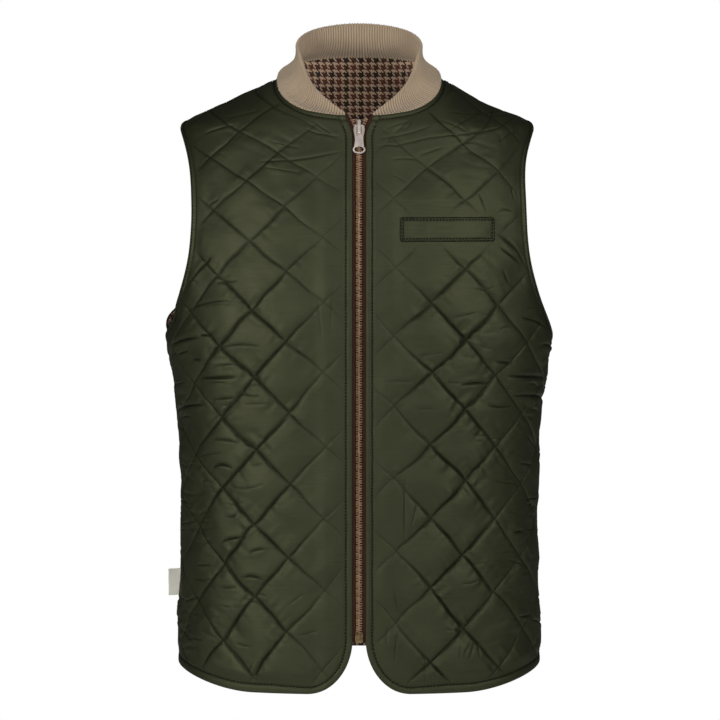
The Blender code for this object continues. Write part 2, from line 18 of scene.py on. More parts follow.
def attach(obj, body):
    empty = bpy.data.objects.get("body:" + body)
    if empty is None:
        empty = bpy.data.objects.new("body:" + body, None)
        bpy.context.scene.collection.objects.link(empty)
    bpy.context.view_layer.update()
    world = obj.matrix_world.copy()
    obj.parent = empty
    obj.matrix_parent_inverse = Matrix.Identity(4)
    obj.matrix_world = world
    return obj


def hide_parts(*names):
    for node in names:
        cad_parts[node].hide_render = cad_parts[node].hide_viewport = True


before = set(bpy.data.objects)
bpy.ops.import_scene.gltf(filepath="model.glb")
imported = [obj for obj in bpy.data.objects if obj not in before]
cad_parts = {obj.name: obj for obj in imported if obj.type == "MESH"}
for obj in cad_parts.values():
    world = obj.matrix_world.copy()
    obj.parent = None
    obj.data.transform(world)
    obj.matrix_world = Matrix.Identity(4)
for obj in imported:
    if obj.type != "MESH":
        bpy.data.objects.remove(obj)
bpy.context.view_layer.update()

# %% [markdown]
# ## The view
# The photograph was taken from far off with a long lens, a little above the middle of the vest, so its sides
# hardly spread apart. A near camera would show more of the inside and make the zip look too wide, so the
# camera stands four metres away and its lens is chosen to fill the same frame.

# %% Camera
AIM = Vector((0.001, 0.0, -0.316))
CAMERA_AWAY = 4.0
CAMERA_UP = math.radians(3.0)
SENSOR, LENS = 36.0, 178.6          # millimetres

camera = bpy.data.objects.new("camera", bpy.data.cameras.new("camera"))
bpy.context.scene.collection.objects.link(camera)
camera.location = AIM + CAMERA_AWAY * Vector((0, -math.cos(CAMERA_UP), math.sin(CAMERA_UP)))
camera.rotation_euler = (AIM - camera.location).to_track_quat("-Z", "Y").to_euler()
camera.data.sensor_width = SENSOR
camera.data.lens = LENS
bpy.context.scene.camera = camera
print("camera at", [round(v, 3) for v in camera.location])

# %% [markdown]
# ## Studio light
# Dark satin cloth shows its form by how fast it falls off to the sides. In the photograph the shoulders and
# the side seams are nearly black and the light falls a little from the left, so two soft boxes stand low on
# either side, the left one stronger, with a weak one by the camera for the metal and a weaker one overhead. A
# narrow spot reaches into the neck, where the boxes can't. One more box stands straight behind, where it lays
# no bright rim on the outline, so that the back can be looked at too. The sky is white where the camera sees
# it and dim for everything else, which is what a white sweep far behind the vest does.

# %% Softboxes and sky
SOFTBOXES = [
    # name, turn to the side, height angle, distance, size, power
    ("softbox_left", -41.0, 6.0, 2.1, 0.56, 19.0),
    ("softbox_right", 41.0, 16.0, 2.1, 0.56, 15.6),
    ("softbox_front", 0.0, 12.0, 3.6, 0.5, 12.0),
    ("softbox_top", 0.0, 80.0, 2.1, 0.9, 4.5),
    ("softbox_back", 180.0, 8.0, 2.8, 0.6, 42.0),
]
SPOT_AIM, SPOT_UP, SPOT_AWAY = Vector((0.0, 0.05, -0.010)), 3.4, 3.0
SPOT_CONE, SPOT_BLEND, SPOT_POWER, SPOT_SIZE = 3.8, 0.7, 128.0, 0.1


def hang(name, kind, aim, turn, up, away):
    """A new light, a distance away from what it is aimed at."""
    lamp = bpy.data.lights.new(name, kind)
    held = bpy.data.objects.new(name, lamp)
    bpy.context.scene.collection.objects.link(held)
    turn, up = math.radians(turn), math.radians(up)
    reach = Vector((math.sin(turn) * math.cos(up), -math.cos(turn) * math.cos(up), math.sin(up)))
    held.location = aim + away * reach
    held.rotation_euler = (-reach).to_track_quat("-Z", "Y").to_euler()
    return lamp


for name, turn, up, away, size, power in SOFTBOXES:
    lamp = hang(name, "AREA", AIM, turn, up, away)
    lamp.size, lamp.energy = size, power
lamp = hang("neck_spot", "SPOT", SPOT_AIM, 0.0, SPOT_UP, SPOT_AWAY)
lamp.spot_size, lamp.spot_blend = math.radians(SPOT_CONE), SPOT_BLEND
lamp.energy, lamp.shadow_soft_size = SPOT_POWER, SPOT_SIZE

SKY_SEEN = (1.0, 1.0, 1.0, 1.0)
SKY_LIGHT = (0.92, 0.96, 1.0, 1.0)
SKY_STRENGTH = 0.03
world = bpy.data.worlds.new("studio")
bpy.context.scene.world = world
world.use_nodes = True
sky = world.node_tree
sky.nodes.clear()
seen, glow = (sky.nodes.new("ShaderNodeBackground") for _ in range(2))
seen.inputs["Color"].default_value = SKY_SEEN
glow.inputs["Color"].default_value = SKY_LIGHT
glow.inputs["Strength"].default_value = SKY_STRENGTH
choose = sky.nodes.new("ShaderNodeMixShader")
sky.links.new(sky.nodes.new("ShaderNodeLightPath").outputs["Is Camera Ray"], choose.inputs[0])
sky.links.new(glow.outputs[0], choose.inputs[1])
sky.links.new(seen.outputs[0], choose.inputs[2])
sky.links.new(choose.outputs[0], sky.nodes.new("ShaderNodeOutputWorld").inputs["Surface"])
bpy.context.scene.view_settings.view_transform = "Standard"
print("lights:", [row[0] for row in SOFTBOXES])

# %% [markdown]
# ## Writing shader maths as Python
# A material is a graph of nodes. Wiring every Math node by hand hides the idea, so a small class wraps a
# socket and lets `+ - * /` add the Math nodes. Everything else goes through one method, `Look.add`, which
# takes the node's kind, its settings and what goes into its sockets.

# %% A socket that understands arithmetic, and a material built from such sockets
class Value:
    def __init__(self, look, socket):
        self.look, self.socket = look, socket

    def __add__(self, other):
        return self.look.math("ADD", self, other)

    def __sub__(self, other):
        return self.look.math("SUBTRACT", self, other)

    def __rsub__(self, other):
        return self.look.math("SUBTRACT", other, self)

    def __mul__(self, other):
        return self.look.math("MULTIPLY", self, other)

    def __truediv__(self, other):
        return self.look.math("DIVIDE", self, other)

    def __mod__(self, other):
        return self.look.math("FLOORED_MODULO", self, other)

    def __lt__(self, other):
        return self.look.math("LESS_THAN", self, other)

    def __abs__(self):
        return self.look.math("ABSOLUTE", self)


class Look:
    def __init__(self, name, **constants):
        self.material = bpy.data.materials.new(name)
        self.material.use_nodes = True
        self.tree = self.material.node_tree
        self.shader = self.tree.nodes["Principled BSDF"]
        for socket, value in constants.items():
            self.shader.inputs[socket.replace("_", " ")].default_value = value

    def add(self, kind, settings=None, sockets=None, out=0):
        node = self.tree.nodes.new("ShaderNode" + kind)
        for name, value in (settings or {}).items():
            setattr(node, name, value)
        for name, value in (sockets or {}).items():
            self.feed(node.inputs[name], value)
        return Value(self, node.outputs[out])

    def feed(self, socket, value):
        if isinstance(value, Value):
            self.tree.links.new(value.socket, socket)
        else:
            socket.default_value = value

    def math(self, operation, *values):
        return self.add("Math", {"operation": operation}, dict(enumerate(values)))

    def blend(self, share, first, second):
        return self.add("Mix", {"data_type": "RGBA"}, {0: share, 6: first, 7: second}, out=2)

    def step(self, value, low, high):
        settings = {"interpolation_type": "SMOOTHSTEP"}
        return self.add("MapRange", settings, {"Value": value, "From Min": low, "From Max": high})

    def cloth(self):
        """The piece's own flat coordinates, in metres, and the third number stored with them."""
        parts = {"Vector": self.add("Attribute", {"attribute_name": "cloth"}, out=1)}
        return [self.add("SeparateXYZ", sockets=parts, out=i) for i in range(3)]

    def noise(self, where, scale, detail=2.0):
        return self.add("TexNoise", sockets={"Vector": where, "Scale": scale, "Detail": detail})

    def place(self, x, y, z=0.0):
        return self.add("CombineXYZ", sockets={"X": x, "Y": y, "Z": z})

    def bump(self, height, distance, strength=1.0):
        sockets = {"Height": height, "Distance": distance, "Strength": strength}
        return self.add("Bump", sockets=sockets)

    def surface(self, **links):
        for socket, value in links.items():
            self.tree.links.new(value.socket, self.shader.inputs[socket.replace("_", " ")])
        return self.material


print("shader helpers ready")

# %% [markdown]
# ## The body that fills the vest
# A vest has no shape of its own: it takes that of a trunk. A row of the table gives the trunk at one level as
# a rounded oval, and a smooth curve through the rows gives every level between. A sculpted body would do too,
# but with a table each size can be named and checked, and the cloth lengths round it can be measured.

# %% Table of the form, and points on it
FORM = np.array([
    # level, half width, depth in front, depth behind, squareness (2 is an ellipse)
    (-0.6900, 0.2005, 0.1170, 0.1230, 2.30),
    (-0.5800, 0.1975, 0.1200, 0.1150, 2.30),
    (-0.5000, 0.1955, 0.1220, 0.1080, 2.30),
    (-0.4200, 0.1968, 0.1250, 0.1060, 2.35),
    (-0.3600, 0.2005, 0.1280, 0.1110, 2.40),
    (-0.3100, 0.2085, 0.1300, 0.1180, 2.45),
    (-0.2850, 0.2130, 0.1310, 0.1215, 2.45),
    (-0.2400, 0.2090, 0.1310, 0.1265, 2.45),
    (-0.1900, 0.2050, 0.1280, 0.1290, 2.45),
    (-0.1400, 0.2030, 0.1215, 0.1260, 2.40),
    (-0.0950, 0.2012, 0.1090, 0.1165, 2.30),
    (-0.0600, 0.1988, 0.0972, 0.1065, 2.18),
    (-0.0535, 0.1950, 0.0950, 0.1045, 2.15),
    (-0.0500, 0.1888, 0.0936, 0.1035, 2.13),
    (-0.0300, 0.1435, 0.0830, 0.0950, 2.05),
    (-0.0120, 0.1065, 0.0728, 0.0872, 2.00),
    (-0.0035, 0.0890, 0.0680, 0.0840, 2.00),
    (0.0040, 0.0893, 0.0636, 0.0812, 2.00),
    (0.0200, 0.0900, 0.0540, 0.0750, 2.00),
    (0.0320, 0.0850, 0.0470, 0.0690, 2.00),
])
GRAIN_X = 0.080      # the cloth's height is measured up the front at this distance from the middle
CHEST = -0.24
TURN_STEP, LEVEL_STEP = 1e-3, 5e-4      # steps that a normal is measured over


def smooth_table(knots, values, at):
    """Read a table along a smooth curve that never overshoots its values."""
    step = np.diff(knots)
    slope = np.diff(values) / step
    before, after = slope[:-1], slope[1:]
    same = before * after > 0
    near, far = 2 * step[1:] + step[:-1], step[1:] + 2 * step[:-1]
    inner = (near + far) / (near / np.where(same, before, 1) + far / np.where(same, after, 1))
    tangent = np.concatenate([slope[:1], np.where(same, inner, 0), slope[-1:]])
    at = np.clip(at, knots[0], knots[-1])
    i = np.clip(np.searchsorted(knots, at) - 1, 0, len(step) - 1)
    t = (at - knots[i]) / step[i]
    start = (1 + 2 * t) * (1 - t) ** 2 * values[i] + t * (1 - t) ** 2 * step[i] * tangent[i]
    end = t * t * (3 - 2 * t) * values[i + 1] - t * t * (1 - t) * step[i] * tangent[i + 1]
    return start + end


def fade(low, high, value):
    """0 up to low, 1 from high, smooth between."""
    t = np.clip((np.asarray(value) - low) / (high - low), 0, 1)
    return t * t * (3 - 2 * t)


def section(level):
    return [smooth_table(FORM[:, 0], FORM[:, column], level) for column in range(1, 5)]


def form_point(turn, level):
    """Point of the form at a turn round from the centre front and a level."""
    half, front, behind, square = section(level)
    depth = np.where(np.cos(turn) >= 0, front, behind)
    side = (np.abs(np.sin(turn)) / half) ** square
    ahead = (np.abs(np.cos(turn)) / depth) ** square
    reach = (side + ahead) ** (-1 / square)
    return np.stack([reach * np.sin(turn), -reach * np.cos(turn), level + 0 * turn], axis=-1)


def form_normal(turn, level):
    across = form_point(turn + TURN_STEP, level) - form_point(turn - TURN_STEP, level)
    up = form_point(turn, level + LEVEL_STEP) - form_point(turn, level - LEVEL_STEP)
    normal = np.cross(across, up)
    return normal / np.linalg.norm(normal, axis=-1, keepdims=True)


def run_length(points):
    """Length along a line of points, from its start to each."""
    return np.concatenate([[0], np.cumsum(np.linalg.norm(np.diff(points, axis=0), axis=1))])


print("form: half chest", round(float(section(CHEST)[0]), 3), "m wide")

# %% [markdown]
# ## Flat cloth and the way back to the body
# Panels are drawn flat: one number along the cloth from the middle of the panel, one number up it. To sew a
# flat point on, the script must know which turn of the body lies at that length. Working this out for each
# point is slow, so it is done once on a fine grid and then read off between the grid's points. A real vest
# does not hang evenly on a body, so every point is then settled by a few millimetres: the armholes gape, and
# the wearer's left shoulder sits a little lower and narrower than the right one.

# %% Grid of the form by cloth length, and placing flat points on it
LADDER = np.linspace(FORM[0, 0], FORM[-1, 0], 362)
SHARES = np.linspace(0, 1, 241)
RUNGS = np.linspace(FORM[0, 0], FORM[-1, 0], 500)


def cloth_heights():
    half, front, behind, square = section(RUNGS)
    forward = front * (1 - np.minimum(GRAIN_X / half, 0.9) ** square) ** (1 / square)
    return np.concatenate([[0], np.cumsum(np.hypot(np.diff(RUNGS), np.diff(forward)))])


HEIGHTS = cloth_heights()


def height_of(level):
    return np.interp(level, RUNGS, HEIGHTS)


def level_of(height):
    return np.interp(height, HEIGHTS, RUNGS)


def form_grid(behind):
    turns = np.linspace(math.pi if behind else 0.0, math.pi / 2, 481)
    rings = form_point(turns[None, :], LADDER[:, None])
    steps = np.linalg.norm(np.diff(rings, axis=1), axis=2)
    lengths = np.concatenate([np.zeros((len(LADDER), 1)), np.cumsum(steps, axis=1)], axis=1)
    turn = np.array([np.interp(SHARES * row[-1], row, turns) for row in lengths])
    level = LADDER[:, None] + 0 * turn
    point, normal = form_point(turn, level), form_normal(turn, level)
    return {"side": lengths[:, -1], "turn": turn, "point": point, "normal": normal}


GRID = {behind: form_grid(behind) for behind in (False, True)}
SHOULDER_TIP, UNDERARM = -0.0535, -0.2870
ARMHOLE_DEPTH = {False: 0.0700, True: 0.0740}          # in front and behind
ARMHOLE_OFF, ARMHOLE_REACH = {False: 0.0090, True: 0.0035}, 0.036
FLARE_BACK, FLARE_FRONT, FLARE_LEVEL, FLARE_TALL = 0.0084, 0.0035, -0.269, 0.014
FLARE_FROM, FLARE_TO, FLARE_SIDE = (0.012, 0.034), (0.05, 0.09), (0.15, 0.18)
DROP, DROP_NEAR, DROP_FAR, DROP_LEVEL = 0.0042, (0.092, 0.124), (0.150, 0.185), (-0.13, -0.06)
NARROW, NARROW_NEAR, NARROW_LEVEL = 0.0045, (0.150, 0.182), (-0.16, -0.08)


def side_length(level, behind=False):
    return np.interp(level, LADDER, GRID[behind]["side"])


def read_grid(table, row, column):
    """Read a grid between its points."""
    i = np.clip(row.astype(int), 0, len(LADDER) - 2)
    j = np.clip(column.astype(int), 0, len(SHARES) - 2)
    a, b = (row - i)[:, None], (column - j)[:, None]
    low = table[i, j] * (1 - b) + table[i, j + 1] * b
    high = table[i + 1, j] * (1 - b) + table[i + 1, j + 1] * b
    return low * (1 - a) + high * a


def stand_off(y, z):
    """How far forward or back the cloth beside an armhole stands off the body, most at the edge's middle."""
    lean = np.arccos(np.clip((2 * z - SHOULDER_TIP - UNDERARM) / (SHOULDER_TIP - UNDERARM), -1, 1))
    beside = np.abs(y) - ARMHOLE_DEPTH[False] * np.sin(lean)
    most = np.where(y < 0, -ARMHOLE_OFF[False], ARMHOLE_OFF[True]) * np.sin(lean)
    return most * np.clip(1 - beside / ARMHOLE_REACH, 0, 1) ** 2


def flare(x, y, z):
    """Low in the right armhole the back edge flares out past the front edge, so that some lining shows."""
    gape = FLARE_BACK * fade(*FLARE_FROM, y) - FLARE_FRONT * fade(*FLARE_FROM, -y)
    gape = gape * (1 - fade(*FLARE_TO, np.abs(y)))
    return gape * np.exp(-((z - FLARE_LEVEL) / FLARE_TALL) ** 2) * fade(*FLARE_SIDE, -x)


def settled(points):
    """Points of the cloth as it hangs, with gaping armholes and a lower and narrower left shoulder."""
    x, y, z = points.T
    drop = DROP * fade(*DROP_NEAR, x) * (1 - fade(*DROP_FAR, x)) * fade(*DROP_LEVEL, z)
    narrow = NARROW * fade(*NARROW_NEAR, x) * fade(*NARROW_LEVEL, z)
    return points - np.column_stack([narrow + flare(x, y, z), -stand_off(y, z), drop])


def place(flat, offset, behind=False, side=1):
    """Set flat cloth points (along, up) on the form, a distance out from it. Gives points and normals."""
    level = level_of(flat[:, 1])
    row = (level - LADDER[0]) / (LADDER[1] - LADDER[0])
    column = np.abs(flat[:, 0]) / side_length(level, behind) * (len(SHARES) - 1)
    point, normal = (read_grid(GRID[behind][word], row, column) for word in ("point", "normal"))
    normal /= np.linalg.norm(normal, axis=1, keepdims=True)
    flip = np.column_stack([side * np.where(flat[:, 0] < 0, -1, 1), np.ones((len(flat), 2))])
    return settled((point + normal * np.broadcast_to(offset, len(flat))[:, None]) * flip), normal * flip


def turn_through(level, behind, across=None, forward=None):
    """Turn at which the form has a given x, or a given distance in front or behind."""
    half, front, back, square = section(level)
    depth = back if behind else front
    if forward is None:
        forward = depth * np.clip(1 - (across / half) ** square, 0, 1) ** (1 / square)
    else:
        across = half * np.clip(1 - (forward / depth) ** square, 0, 1) ** (1 / square)
    return np.arctan2(across, -forward if behind else forward)


def along_at(turn, level, behind):
    """Cloth length from the middle of a panel to a turn."""
    level, turn = np.atleast_1d(level), np.atleast_1d(turn)
    row = (level - LADDER[0]) / (LADDER[1] - LADDER[0])
    i = np.clip(row.astype(int), 0, len(LADDER) - 2)
    found = []
    order = -1 if behind else 1
    for k in (0, 1):
        turns = GRID[behind]["turn"][i + k]
        found.append(np.array([np.interp(t, r[::order], SHARES[::order]) for t, r in zip(turn, turns)]))
    share = found[0] + (found[1] - found[0]) * (row - i)
    return share * side_length(level, behind)


print("cloth half round the chest:", round(float(side_length(CHEST) + side_length(CHEST, True)), 3), "m")

# %% [markdown]
# ## The cut
# Each panel's outline is drawn edge by edge, because each edge is finished in its own way: front edge and hem
# have a row of topstitching, the armhole one closer to the edge, and the side and shoulder seams none. The
# neckline is a rounded line round the neck, and the armhole an oval seen from the side.

# %% Edges of the panels
SEAM = -0.0008          # the panels overlap this much at a seam, so that no light comes through
NECK_LEVEL, NECK_HALF, NECK_DROP, NECK_RISE, NECK_ROUND = -0.0035, 0.0890, 0.0425, 0.0270, 2.5
ARMHOLE_LOW = 0.10
SIDE_HEM, FRONT_HEM, HEM_CURVE_FROM = -0.6540, -0.6755, 0.45
CORNER_WIDE, CORNER_TALL = 0.0500, 0.0620
EDGE_HALF, EDGE_OPENS, NECK_SPREAD = 0.0070, -0.0660, 0.0080
CUT_STEP = 0.0026          # spacing of points along a cut edge
STITCH_IN = {"front": 0.0072, "hem": 0.0095, "neck": 0.0062, "armhole": 0.0078}


def spread(level):
    """How far the front edge and its half of the zip have parted at a level."""
    share = np.clip((np.asarray(level) - EDGE_OPENS) / (NECK_LEVEL - NECK_DROP - EDGE_OPENS), 0, 1.1)
    return NECK_SPREAD * share ** 1.3


def neck_ring(lean):
    """Neckline points round the neck from the centre back, with the form's outward direction at each."""
    across = NECK_HALF * np.abs(np.sin(lean)) ** (2 / NECK_ROUND)
    behind = np.cos(lean) >= 0
    share = np.abs(np.cos(lean)) ** (2 / NECK_ROUND)
    level = NECK_LEVEL + np.where(behind, NECK_RISE, -NECK_DROP) * share
    turns = [turn_through(level, way, across=across) for way in (True, False)]
    turn = np.where(behind, *turns)
    side = np.where(lean < 0, -1, 1)[:, None] * [1, 0, 0] + [0, 1, 1]
    return form_point(turn, level) * side, form_normal(turn, level) * side


def evenly(points, step=CUT_STEP):
    """The same line with points a step apart."""
    length = run_length(points)
    spots = np.linspace(0, length[-1], max(2, round(length[-1] / step) + 1))
    return np.column_stack([np.interp(spots, length, column) for column in points.T])


def neck_edge(behind, inner):
    lean = np.linspace(math.asin((inner / NECK_HALF) ** (NECK_ROUND / 2)), math.pi / 2, 300)
    across = NECK_HALF * np.sin(lean) ** (2 / NECK_ROUND)
    share = np.clip(1 - (across / NECK_HALF) ** NECK_ROUND, 0, 1) ** (1 / NECK_ROUND)
    level = NECK_LEVEL + (NECK_RISE if behind else -NECK_DROP) * share
    return np.column_stack([along_at(turn_through(level, behind, across=across), level, behind), level])


def straight_seam(top, bottom, behind):
    level = np.linspace(top, bottom, 200)
    return np.column_stack([side_length(level, behind) - SEAM / 2, level])


def armhole_edge(behind):
    lean = np.linspace(0, math.pi, 400)
    middle, reach = (SHOULDER_TIP + UNDERARM) / 2, (SHOULDER_TIP - UNDERARM) / 2
    level = middle + reach * np.cos(lean)
    forward = ARMHOLE_DEPTH[behind] * np.sin(lean) * (1 - ARMHOLE_LOW * np.cos(lean))
    return np.column_stack([along_at(turn_through(level, behind, forward=forward), level, behind), level])


def front_edges():
    """Edges of one front in order, from the side of the hem round to the side seam again."""
    reach = float(side_length(SIDE_HEM))
    along = np.linspace(reach - SEAM / 2, EDGE_HALF + CORNER_WIDE, 200)
    rise = fade(0, 1, (along / reach - HEM_CURVE_FROM) / (1 - HEM_CURVE_FROM))
    hem = np.column_stack([along, FRONT_HEM + (SIDE_HEM - FRONT_HEM) * rise])
    corner_level = FRONT_HEM + CORNER_TALL
    lean = np.linspace(math.pi / 2, 0, 60)
    corner = [EDGE_HALF + CORNER_WIDE * (1 - np.cos(lean)), corner_level - CORNER_TALL * np.sin(lean)]
    neck = neck_edge(False, EDGE_HALF + NECK_SPREAD)
    level = np.linspace(corner_level, neck[0, 1], 300)
    edge = np.column_stack([EDGE_HALF + spread(level), level])
    turned = np.concatenate([hem, np.column_stack(corner)[1:], edge[1:]])
    return {
        "front": turned,
        "neck": neck,
        "shoulder": straight_seam(NECK_LEVEL, SHOULDER_TIP, False),
        "armhole": armhole_edge(False),
        "side": straight_seam(UNDERARM, SIDE_HEM, False),
    }


def back_edges():
    """Edges of the back in order: the right half from the middle of the neck, then its mirror image."""
    half = {
        "neck": neck_edge(True, 0.0),
        "shoulder": straight_seam(NECK_LEVEL, SHOULDER_TIP, True),
        "armhole": armhole_edge(True),
        "side": straight_seam(UNDERARM, SIDE_HEM, True),
    }
    reach = float(side_length(SIDE_HEM, True)) - SEAM / 2
    hem = np.column_stack([np.linspace(reach, -reach, 200), np.full(200, SIDE_HEM)])
    edges = {word + "_1": line for word, line in half.items() if word != "neck"}
    edges["hem"] = hem
    edges.update({word + "_2": half[word][::-1] * (-1, 1) for word in ("side", "armhole", "shoulder")})
    edges["neck"] = np.concatenate([half["neck"][::-1] * (-1, 1), half["neck"][1:]])
    return edges


def lay_flat(edges):
    return {word: evenly(np.column_stack([e[:, 0], height_of(e[:, 1])])) for word, e in edges.items()}


CUT = {"front": lay_flat(front_edges()), "back": lay_flat(back_edges())}


def outline_of(edges):
    return np.concatenate([line[:-1] for line in edges.values()])


def area_of(outline):
    x, y = outline.T
    return abs(float(np.dot(x, np.roll(y, -1)) - np.dot(y, np.roll(x, -1)))) / 2


for word, edges in CUT.items():
    line = outline_of(edges)
    print(word, "cut", (line.max(axis=0) - line.min(axis=0)).round(3), "area", round(area_of(line), 4), "m2")

# %% [markdown]
# ## Filling an outline with cloth
# Blender's constrained triangulation fills a flat outline through any points it is given. The points lie on a
# slanted grid that follows the quilting, so that every stitched line runs along edges of the mesh and its
# groove stays sharp. A few rows close to the cut edge let that edge round over. Each triangle is then split
# in four, which is quicker than triangulating four times as many points. The quilting of a real vest is never
# quite even, because the cloth is cut and pulled after it is quilted, so each front has its own slow drift.

# %% Flat triangles for a panel
DIAMOND_WIDE, DIAMOND_TALL = 0.0770, 0.0780
LINE_APART = 1 / math.hypot(1 / DIAMOND_WIDE, 1 / DIAMOND_TALL)
RIM_ROWS = (0.0004, 0.0011, 0.0021)
AT_ONCE, ROUNDS = 3000, 14          # points measured at once, and rounds that find a spot in the lattice
QUILT_LEVEL = -0.3650
PHASE = {"front_right": float(height_of(QUILT_LEVEL)), "back": float(height_of(QUILT_LEVEL))}
PHASE["front_left"] = PHASE["front_right"] + DIAMOND_TALL / 2
WOBBLE = ((0.0005, 0.022), (0.0010, 0.070))        # how far the lines stray, and over what length
WOBBLE_SEEDS, WOBBLE_WAVES = (31, 47), 10
DRIFT_AT, DRIFT_END = (0.030, 0.170), 0.23
DRIFT = {
    # height, pull along near the zip and near the side, pull up near the zip and near the side (millimetres)
    "front_right": np.array([
        (0.02, -2, 0, 12, 28), (0.10, 0, 2, 2, 18), (0.20, 1, 2, -1, 13), (0.30, 2, 1, -2, 10),
        (0.40, 1, -1, -2, 8), (0.48, 0, -4, 1, 11), (0.54, -2, -8, 9, 18), (0.59, -6, -13, 20, 31),
        (0.63, -10, -18, 34, 47), (0.66, -13, -23, 49, 62),
    ]),
    "front_left": np.array([
        (0.02, 0, -4, 1, 12), (0.10, 0, 0, -2, 8), (0.20, 0, 2, -4, 5), (0.30, 0, 1, -5, 3),
        (0.40, 0, 0, -4, 3), (0.48, 0, -1, -2, 5), (0.54, 1, -1, 2, 8), (0.59, 2, -1, 7, 13),
        (0.63, 4, 1, 13, 19), (0.66, 6, 2, 18, 24),
    ]),
}


def nearest(points, line):
    """Distance of each flat point from a line of points, and how far along the line the nearest spot is."""
    start, run = line[:-1], np.diff(line, axis=0)
    square = np.maximum((run * run).sum(axis=1), 1e-16)
    away, where = [], []
    for some in np.array_split(points, max(1, len(points) // AT_ONCE)):
        to = some[:, None, :] - start[None, :, :]
        share = np.clip((to * run).sum(axis=2) / square, 0, 1)
        gap = np.linalg.norm(to - share[:, :, None] * run, axis=2)
        best = gap.argmin(axis=1)
        rows = np.arange(len(some))
        away.append(gap[rows, best])
        where.append((best + share[rows, best]) / len(run))
    return np.concatenate(away), np.concatenate(where)


def inside(points, outline):
    found = []
    x0, y0 = outline.T
    x1, y1 = np.roll(outline, -1, axis=0).T
    for some in np.array_split(points, max(1, len(points) // AT_ONCE)):
        x, y = some[:, 0][:, None], some[:, 1][:, None]
        crosses = (y0 > y) != (y1 > y)
        reach = x0 + (y - y0) * (x1 - x0) / np.where(y1 == y0, 1e-12, y1 - y0)
        found.append((crosses & (x < reach)).sum(axis=1) % 2 == 1)
    return np.concatenate(found)


def inset(outline, distance):
    """Points a distance inside an outline that runs clockwise."""
    ahead = np.roll(outline, -1, axis=0) - np.roll(outline, 1, axis=0)
    inward = np.column_stack([ahead[:, 1], -ahead[:, 0]])
    inward /= np.linalg.norm(inward, axis=1, keepdims=True)
    return outline + inward * np.reshape(distance, (-1, 1)), inward


def wave_noise(seed, reach, count=24):
    """A smooth random function of flat points: many slanted waves, none shorter than reach."""
    draw = np.random.default_rng(seed)
    size = 2 * math.pi / (reach * draw.uniform(1.0, 3.0, count))
    turn, phase = draw.uniform(0, math.pi, count), draw.uniform(0, 2 * math.pi, count)

    def read(flat):
        total = 0
        for k, t, p in zip(size, turn, phase):
            total = total + np.sin(k * (flat[:, 0] * math.cos(t) + flat[:, 1] * math.sin(t)) + p)
        return total * math.sqrt(2 / count)
    return read


def drift(name, flat):
    """Shift from a flat point to its place in the quilting's own even lattice."""
    if name not in PHASE:
        return 0 * flat
    stray = []
    for seed in WOBBLE_SEEDS:
        waves = [size * wave_noise(seed + len(name), reach, WOBBLE_WAVES)(flat) for size, reach in WOBBLE]
        stray.append(sum(waves))
    stray = np.column_stack(stray)
    if name not in DRIFT:
        return stray
    table, up = DRIFT[name], flat[:, 1]
    zip_along, side_along, zip_up, side_up = (smooth_table(table[:, 0], table[:, k], up) for k in range(1, 5))
    share = (np.clip(flat[:, 0], 0, DRIFT_END) - DRIFT_AT[0]) / (DRIFT_AT[1] - DRIFT_AT[0])
    pull = [zip_along + (side_along - zip_along) * share, zip_up + (side_up - zip_up) * share]
    return stray + np.column_stack(pull) / 1000


def from_lattice(name, even):
    """Flat points whose places in the even lattice are given."""
    flat = even
    for _ in range(ROUNDS):
        flat = even - drift(name, flat)
    return flat


def lattice_numbers(name, flat):
    """Which quilting lines of each slant a flat point lies between: whole numbers are on a line."""
    even = flat + drift(name, flat)
    along, up = even[:, 0] / DIAMOND_WIDE, (even[:, 1] - PHASE.get(name, 0.0)) / DIAMOND_TALL
    return along + up, along - up


def slanted_grid(name, outline, count, crowd):
    """Points on lines beside the quilting lines, count to each diamond's side, crowded towards the lines."""
    ranges = [(numbers.min() - 0.5, numbers.max() + 0.5) for numbers in lattice_numbers(name, outline)]
    steps = [np.arange(math.floor(low * count), math.ceil(high * count) + 1) / count for low, high in ranges]
    steps = [s - crowd * np.sin(2 * math.pi * s) / (2 * math.pi) for s in steps]
    rising, falling = (v.ravel() for v in np.meshgrid(*steps))
    up = PHASE.get(name, 0.0) + (rising - falling) / 2 * DIAMOND_TALL
    return from_lattice(name, np.column_stack([(rising + falling) / 2 * DIAMOND_WIDE, up]))


def fill(outline, inner, clear):
    """Triangles that fill an outline through the inner points that are clear of its edge."""
    closed = np.vstack([outline, outline[:1]])
    low, high = outline.min(axis=0), outline.max(axis=0)
    inner = inner[((inner > low) & (inner < high)).all(axis=1)]
    inner = inner[inside(inner, outline)]
    inner = inner[nearest(inner, closed)[0] > clear]
    rows = []
    for depth in RIM_ROWS:
        row = inset(outline, depth)[0]
        rows.append(row[(nearest(row, closed)[0] > 0.95 * depth) & inside(row, outline)])
    flat = np.concatenate([outline, *rows, inner])
    made = delaunay_2d_cdt([Vector(p) for p in flat], [], [list(range(len(outline)))], 1, 1e-7)
    return np.array([tuple(v) for v in made[0]]), np.array([tuple(f) for f in made[2]])


def split_in_four(values, faces):
    """Each triangle becomes four, and every value of a new point is the mean of its two neighbours."""
    pairs = np.sort(np.concatenate([faces[:, [0, 1]], faces[:, [1, 2]], faces[:, [2, 0]]]), axis=1)
    sides, which = np.unique(pairs, axis=0, return_inverse=True)
    ab, bc, ca = len(values) + which.reshape(3, -1)
    a, b, c = faces.T
    small = [(a, ab, ca), (ab, b, bc), (ca, bc, c), (ab, bc, ca)]
    values = np.concatenate([values, values[sides].mean(axis=1)])
    return values, np.concatenate([np.column_stack(t) for t in small])


print("quilting lines are", round(LINE_APART * 1000, 1), "mm apart")

